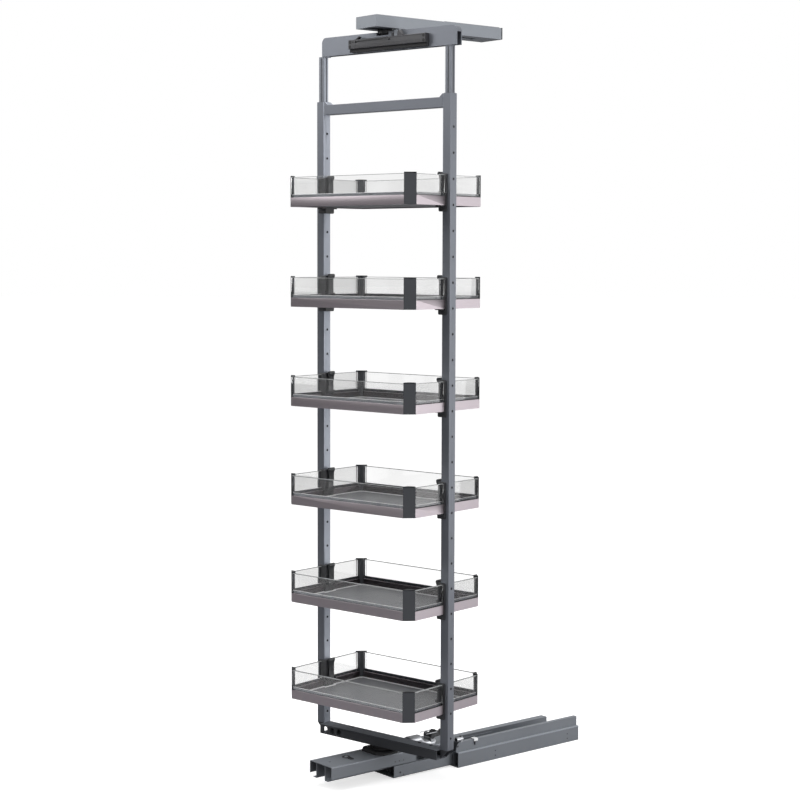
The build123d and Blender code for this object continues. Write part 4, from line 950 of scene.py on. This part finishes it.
class PANTRY_OT_top_guide(bpy.types.Operator):
    """Finishes the top slide, trolley and damper and adds their small fittings"""

    bl_idname = "pantry.top_guide"
    bl_label = "Top guide and damper"

    def execute(self, context):
        edge = context.scene.pantry_frame.edge_round
        paint_nodes({"top_slide": "slide_paint", "top_rail": "rail_paint", "top_trolley": "black",
                     "damper_housing": "damper"}, edge)
        paint_nodes({"damper_catch": "black"})
        self.damper_screws()
        self.damper_skirt_shade()
        self.buffer_fittings()
        self.slide_end()
        self.damper_ribs()
        return {"FINISHED"}

    def damper_screws(self):
        """Two screws at each end of the damper's face, and a small dot beside one pair; the screws' near
        black colour is painted shade for the dark screw holes there.
        """
        mesh = bmesh.new()
        screw = peg(radius=4.1, low=-2.0, high=0.4, inset=0.4, drop=0.3)
        dot = peg(radius=1.9, low=-0.5, high=0.3)
        for along in (-97.0, 147.0):
            for drop in (17.4, 5.7):
                add_lathe(mesh, screw, on_frame(along, DAMPER_FACE, DAMPER_TOP - drop), -FRAME_ACROSS,
                          SCREW_SEGMENTS)
        add_lathe(mesh, dot, on_frame(-87.5, DAMPER_FACE, DAMPER_TOP - 6.0), -FRAME_ACROSS, SMALL_SEGMENTS)
        add_piece("damper_screws", mesh, "plate", "upper_frame")

    def damper_skirt_shade(self):
        """Dark matt sheet on the face of the skirt under the damper, painted shade for the set-back skirt."""
        mesh = bmesh.new()
        left, right, front, back = -102.6, 152.6, -19.5, -18.9
        add_block(mesh, (left, front, DAMPER_FOOT + 0.2), (right, back, DAMPER_FOOT + 7.9), on_frame)
        add_piece("damper_skirt_shade", mesh, "rubber", "upper_frame",
                  smooth=False, bevel=0.0002)

    def damper_ribs(self):
        """Three level ribs along the foot of the damper's face."""
        mesh = bmesh.new()
        left, right = -90.0, 140.0
        lowest, pitch, half = DAMPER_FOOT + 11.0, 2.6, 0.4
        for rib in range(3):
            height = lowest + pitch * rib
            add_block(mesh, (left, DAMPER_FACE - 0.5, height - half),
                      (right, DAMPER_FACE + 0.2, height + half), on_frame)
        add_piece("damper_ribs", mesh, "damper", "upper_frame", smooth=False, bevel=0.0002)

    def buffer_fittings(self):
        """Small stop, wedge, bracket and spring end on the damper, in front of the crossbar."""
        top = DAMPER_TOP
        stop = bmesh.new()
        buffer = peg(radius=4.4, low=0.0, high=10.5, inset=0.8, drop=1.0)
        add_lathe(stop, buffer, on_frame(41.0, -16.5, top), UP)
        add_prism(stop, [(60, top), (76, top), (76, top + 2), (66, top + 14), (61, top + 14)],
                  -23, -11, on_frame)
        add_piece("damper_stop", stop, "damper", "upper_frame", bevel=0.0006)
        bracket = bmesh.new()
        add_prism(bracket, [(47, top), (58, top), (58, top + 13), (54, top + 15), (47, top + 15)],
                  -20, -11, on_frame)
        add_piece("damper_bracket", bracket, "rail_paint", "upper_frame", bevel=0.0006)
        hook = bmesh.new()
        add_prism(hook, [(-84, top - 3), (-77, top - 3), (-66, top + 6), (-69, top + 8), (-80, top + 1),
                         (-84, top + 1)], -23, -14, on_frame)
        add_piece("damper_spring_end", hook, "rubber", "upper_frame", bevel=0.0006)

    def slide_end(self):
        """Black edge cap round the far end of the slide, open where the trolley's slot is."""
        mesh = bmesh.new()
        wall, slot = 2.4, 9.5
        reach, foot, top = SLIDE_SIDE + 0.3, SLIDE_FOOT - 0.2, SLIDE_TOP + 0.3
        near, far = SLIDE_END - 3.0, SLIDE_END + 0.6
        for side in (-1, 1):
            inside = side * (reach - wall)
            add_block(mesh, (inside, near, foot), (side * reach, far, top), on_rails)
            add_block(mesh, (inside, near, top - wall), (side * slot, far, top), on_rails)
        add_block(mesh, (wall - reach, near, foot), (reach - wall, far, foot + wall), on_rails)
        add_piece("slide_end", mesh, "rubber", "slide_box", smooth=False, bevel=0.0003)


class PANTRY_OT_baskets(bpy.types.Operator):
    """Finishes the six baskets and adds their caps, strips, edges, beads, ribs and finger levers"""

    bl_idname = "pantry.baskets"
    bl_label = "Baskets"

    def execute(self, context):
        sizes = context.scene.pantry_baskets
        edge = context.scene.pantry_frame.edge_round
        for number in range(1, BASKETS + 1):
            basket = f"basket{number}"
            foot = heights(f"{basket}_rim")[0]
            self.paint_basket(basket, edge)
            self.caps(basket, foot, sizes.cap_height * 1000)
            self.strip(basket, foot, sizes.strip_width * 1000)
            self.clip_ribs(basket, foot)
            self.panel_edges(basket, foot)
            self.beads_and_gaskets(basket, foot)
            for side, hand in ((-1, "left"), (1, "right")):
                self.lever(number, side, hand, foot)
        return {"FINISHED"}

    def paint_basket(self, basket, edge):
        """The finishes of one basket's CAD pieces."""
        paint_nodes({f"{basket}_rim": "rim", f"{basket}_corner_posts": "dark_paint"}, edge)
        paint_nodes({f"{basket}_floor": "board", f"{basket}_glass": "glass", f"{basket}_clips": "black",
                     f"{basket}_lever_left": "black", f"{basket}_lever_right": "black"})

    def caps(self, basket, foot, height):
        """Plastic caps in the tops of the corner posts."""
        mesh = bmesh.new()
        depth = 15.0
        a, b, top = HALF_LENGTH - CORNER_CUT, HALF_DEPTH - CORNER_CUT, foot + CORNER_TOP
        corner = [(a, HALF_DEPTH), (HALF_LENGTH, b), (HALF_LENGTH - depth, b), (a, HALF_DEPTH - depth)]
        for along in (-1, 1):
            for across in (-1, 1):
                outline = [(along * x, across * y) for x, y in corner]
                add_prism(mesh, outline, top - height, top + 0.4, upright_on_frame)
        add_piece(f"{basket}_caps", mesh, "black", basket, smooth=False, bevel=0.0003)

    def strip(self, basket, foot, width):
        """Bright strip that lies on the edge of the floor board."""
        mesh = bmesh.new()
        gap = 0.4
        low, high = foot + BOARD_TOP - 0.2, foot + BOARD_TOP + 1.8
        add_band(mesh, self.board_outline(gap), self.board_outline(gap + width), low, high, on_frame)
        add_piece(f"{basket}_strip", mesh, "strip", basket, smooth=False)

    def board_outline(self, inset):
        """Corners of the floor's outline with its two clip notches, set in by a distance."""
        a, b = HALF_LENGTH - BOARD_INSET - inset, HALF_DEPTH - BOARD_INSET - inset
        cut, notch, half = 7.0, 190.3 - inset, 16.2 + inset
        side = [(a - cut, -b), (a, cut - b), (a, -half), (notch, -half), (notch, half), (a, half),
                (a, b - cut), (a - cut, b)]
        return side + [(-x, -y) for x, y in side]

    def rim_run(self, mesh, outer, inner, low, high, long_sides=True):
        """Blocks between two insets from the basket's outside, with a gap at the clips."""
        for side in (-1, 1):
            if long_sides:
                add_block(mesh, (-LONG_RUN, side * (HALF_DEPTH - outer), low),
                          (LONG_RUN, side * (HALF_DEPTH - inner), high), on_frame)
            for end in (-1, 1):
                add_block(mesh, (side * (HALF_LENGTH - outer), end * CLIP_GAP, low),
                          (side * (HALF_LENGTH - inner), end * SHORT_RUN, high), on_frame)

    def panel_edges(self, basket, foot):
        """Polished top edges of the six clear panels."""
        mesh = bmesh.new()
        outer, inner, top = 1.85, 7.15, foot + PANEL_TOP
        self.rim_run(mesh, outer, inner, top - 1.0, top + 0.2)
        add_piece(f"{basket}_panel_edges", mesh, "glass_edge", basket,
                  smooth=False, bevel=0.0002)

    def beads_and_gaskets(self, basket, foot):
        """Bead inside each panel, darker on its inward faces as painted shade, with a bright line on its edge
        as a painted highlight, and a dark gasket under the short sides' panels.
        """
        rim = foot + RIM_TOP
        bead, outer, inner = rim + 7.0, 7.2, 8.4
        beads, lines, gaskets = bmesh.new(), bmesh.new(), bmesh.new()
        self.rim_run(beads, outer, inner, rim - 0.5, bead)
        self.rim_run(lines, outer, inner, bead, bead + 1.0)
        self.rim_run(gaskets, 0.6, 1.9, rim - 0.5, rim + 1.6, long_sides=False)
        for name, mesh, material, slot in (("beads", beads, "bead", "basket_rim"),
                                           ("rim_highlight_lines", lines, "strip", "basket_rim"),
                                           ("gaskets", gaskets, "rubber", "black_plastic")):
            add_piece(f"{basket}_{name}", mesh, material, basket, smooth=False, bevel=0.0002)

    def clip_ribs(self, basket, foot):
        """Upright ribs on both cheeks of the two clips."""
        mesh = bmesh.new()
        cheek, rise, top = 15.8, 0.9, foot + PANEL_TOP - 1.0
        section = ((-1.4, 0), (-0.8, rise), (0.8, rise), (1.4, 0))
        full, short = -13.0, 25.0
        for side in (-1, 1):
            for face in (-1, 1):
                for along, low in ((193.4, full), (198.0, short), (202.4, short)):
                    outline = [(side * (along + x), face * (cheek + y)) for x, y in section]
                    add_prism(mesh, outline, foot + low, top, upright_on_frame)
        add_piece(f"{basket}_clip_ribs", mesh, "black", basket, smooth=False)

    def lever(self, number, side, hand, foot):
        """Waisted finger lever with a thick rounded head, its hinge pin and its latch pin."""
        mesh = bmesh.new()
        section = [self.rounded(angle) for angle in circle(LEVER_SEGMENTS)]
        add_rings(mesh, [[on_frame(side * (along + thick * x), wide * y, foot + height) for x, y in section]
                         for height, along, thick, wide in LEVER_STATIONS])
        latch = peg(radius=1.9, low=0.0, high=13.8, inset=0.6, drop=0.6)
        add_lathe(mesh, latch, on_frame(side * LEVER_MIDDLE, 0, foot + LEVER_LATCH), side * FRAME_ALONG,
                  SMALL_SEGMENTS)
        hinge = peg(radius=1.4, low=-12.8, high=12.8)
        add_lathe(mesh, hinge, on_frame(side * LEVER_MIDDLE, 0, foot + LEVER_HINGE), FRAME_ACROSS,
                  SMALL_SEGMENTS)
        body = f"finger{number}_{hand}"
        piece = add_piece(f"{body}_blade", mesh, "black", body)
        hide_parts(f"basket{number}_lever_{hand}")

    def rounded(self, angle):
        """A point of an outline halfway between a square and a circle."""
        place = (math.cos(angle), math.sin(angle))
        return [math.copysign(abs(share) ** 0.5, share) for share in place]


class PANTRY_OT_stage(bpy.types.Operator):
    """Floor, lights, background and camera"""

    bl_idname = "pantry.stage"
    bl_label = "Stage"

    def execute(self, context):
        self.floor()
        self.background(context.scene)
        for box in SOFT_BOXES:
            self.soft_box(*box)
        self.camera(context.scene)
        context.scene.view_settings.view_transform = "Standard"
        return {"FINISHED"}

    def floor(self):
        """Pale floor that reads as paper white to the eye and as a dim floor to everything else."""
        mesh = bmesh.new()
        height = -0.0005
        for x, y in ((-1, -1), (1, -1), (1, 1), (-1, 1)):
            mesh.verts.new((x * STAGE_REACH, y * STAGE_REACH, height))
        mesh.faces.new(mesh.verts)
        pale, tree, shader = new_material("Pale floor")
        shader.inputs["Roughness"].default_value = 1.0
        shader.inputs["Specular IOR Level"].default_value = 0.0
        shader.inputs["Emission Color"].default_value = WHITE
        eye = seen_by_eye(tree)
        tree.links.new(math_node(tree, "MULTIPLY", eye, FLOOR_WHITE), shader.inputs["Emission Strength"])
        paper = add_node(tree, "ShaderNodeMix", data_type="RGBA")
        dim, white = [socket for socket in paper.inputs if socket.type == "RGBA"]
        dim.default_value = (0.30, 0.30, 0.31, 1.0)
        white.default_value = (FLOOR_WHITE, FLOOR_WHITE, FLOOR_WHITE, 1.0)
        tree.links.new(eye, paper.inputs["Factor"])
        mixed = next(socket for socket in paper.outputs if socket.type == "RGBA")
        tree.links.new(mixed, shader.inputs["Base Color"])
        floor = add_object("floor", mesh, pale)

    def background(self, scene):
        """White to the eye; as light, bright behind on the right and dim in front and below."""
        world = bpy.data.worlds.new("Studio")
        world.use_nodes = True
        scene.world = world
        tree = world.node_tree
        tree.nodes.clear()
        output = add_node(tree, "ShaderNodeOutputWorld")
        seen = add_node(tree, "ShaderNodeBackground")
        seen.inputs["Color"].default_value = WHITE
        light = add_node(tree, "ShaderNodeBackground")
        direction = add_node(tree, "ShaderNodeTexCoord").outputs["Generated"]
        side = vector_node(tree, "DOT_PRODUCT", direction, BRIGHT_SIDE)
        nearness = math_node(tree, "MULTIPLY_ADD", side, 0.5, 0.5)
        curve = math_node(tree, "POWER", nearness, LIGHT_FALL)
        feed(tree, light.inputs["Strength"], math_node(tree, "MULTIPLY_ADD", curve, ADDED_LIGHT, DIM_LIGHT))
        mix = add_node(tree, "ShaderNodeMixShader")
        tree.links.new(seen_by_eye(tree), mix.inputs["Fac"])
        tree.links.new(light.outputs[0], mix.inputs[1])
        tree.links.new(seen.outputs[0], mix.inputs[2])
        tree.links.new(mix.outputs[0], output.inputs["Surface"])

    def soft_box(self, name, place, target, size, power):
        """A square area light that faces a point."""
        data = bpy.data.lights.new(name, "AREA")
        data.shape = "SQUARE"
        data.size = size
        data.energy = power
        lamp = bpy.data.objects.new(name, data)
        lamp.location = place
        lamp.rotation_euler = (Vector(target) - Vector(place)).to_track_quat("-Z", "Y").to_euler()
        bpy.context.scene.collection.objects.link(lamp)

    def camera(self, scene):
        """The photograph's viewing place, lens and tilt."""
        data = bpy.data.cameras.new("Camera")
        data.sensor_width = SENSOR_WIDTH
        data.sensor_fit = "HORIZONTAL"
        data.lens = CAMERA_LENS
        data.clip_end = STAGE_REACH
        camera = bpy.data.objects.new("Camera", data)
        camera.location = CAMERA_PLACE
        turn = Matrix.Rotation(math.radians(CAMERA_TURN), 4, "Z")
        pitch = Matrix.Rotation(math.radians(90.0 - CAMERA_TILT), 4, "X")
        roll = Matrix.Rotation(math.radians(CAMERA_ROLL), 4, "Z")
        camera.rotation_euler = (turn @ pitch @ roll).to_euler()
        scene.collection.objects.link(camera)
        scene.camera = camera


class PANTRY_PT_panel(bpy.types.Panel):
    """Sidebar panel that lists the settings and the steps"""

    bl_label = "Pull out pantry frame"
    bl_idname = "PANTRY_PT_panel"
    bl_space_type = "VIEW_3D"
    bl_region_type = "UI"
    bl_category = "Pantry"

    def draw(self, context):
        scene = context.scene
        for settings in (scene.pantry_frame, scene.pantry_baskets, scene.pantry_plastic):
            for name in settings.bl_rna.properties.keys():
                if name not in ("rna_type", "name"):
                    self.layout.prop(settings, name)
        for step in STEPS:
            self.layout.operator(step.bl_idname)


STEPS = (PANTRY_OT_stage, PANTRY_OT_finishes, PANTRY_OT_swinging_frame, PANTRY_OT_floor_rails,
         PANTRY_OT_lock, PANTRY_OT_top_guide, PANTRY_OT_baskets)
CLASSES = (FrameFinish, BasketFinish, PlasticFinish, *STEPS, PANTRY_PT_panel)


def register():
    """Makes the settings, steps and panel known to Blender."""
    for cls in CLASSES:
        bpy.utils.register_class(cls)
    bpy.types.Scene.pantry_frame = bpy.props.PointerProperty(type=FrameFinish)
    bpy.types.Scene.pantry_baskets = bpy.props.PointerProperty(type=BasketFinish)
    bpy.types.Scene.pantry_plastic = bpy.props.PointerProperty(type=PlasticFinish)


def unregister():
    """Takes them away again."""
    del bpy.types.Scene.pantry_frame
    del bpy.types.Scene.pantry_baskets
    del bpy.types.Scene.pantry_plastic
    for cls in reversed(CLASSES):
        bpy.utils.unregister_class(cls)


def main():
    """Runs every step in order."""
    register()
    for step in STEPS:
        area, name = step.bl_idname.split(".")
        getattr(getattr(bpy.ops, area), name)()


if __name__ == "__main__":
    main()
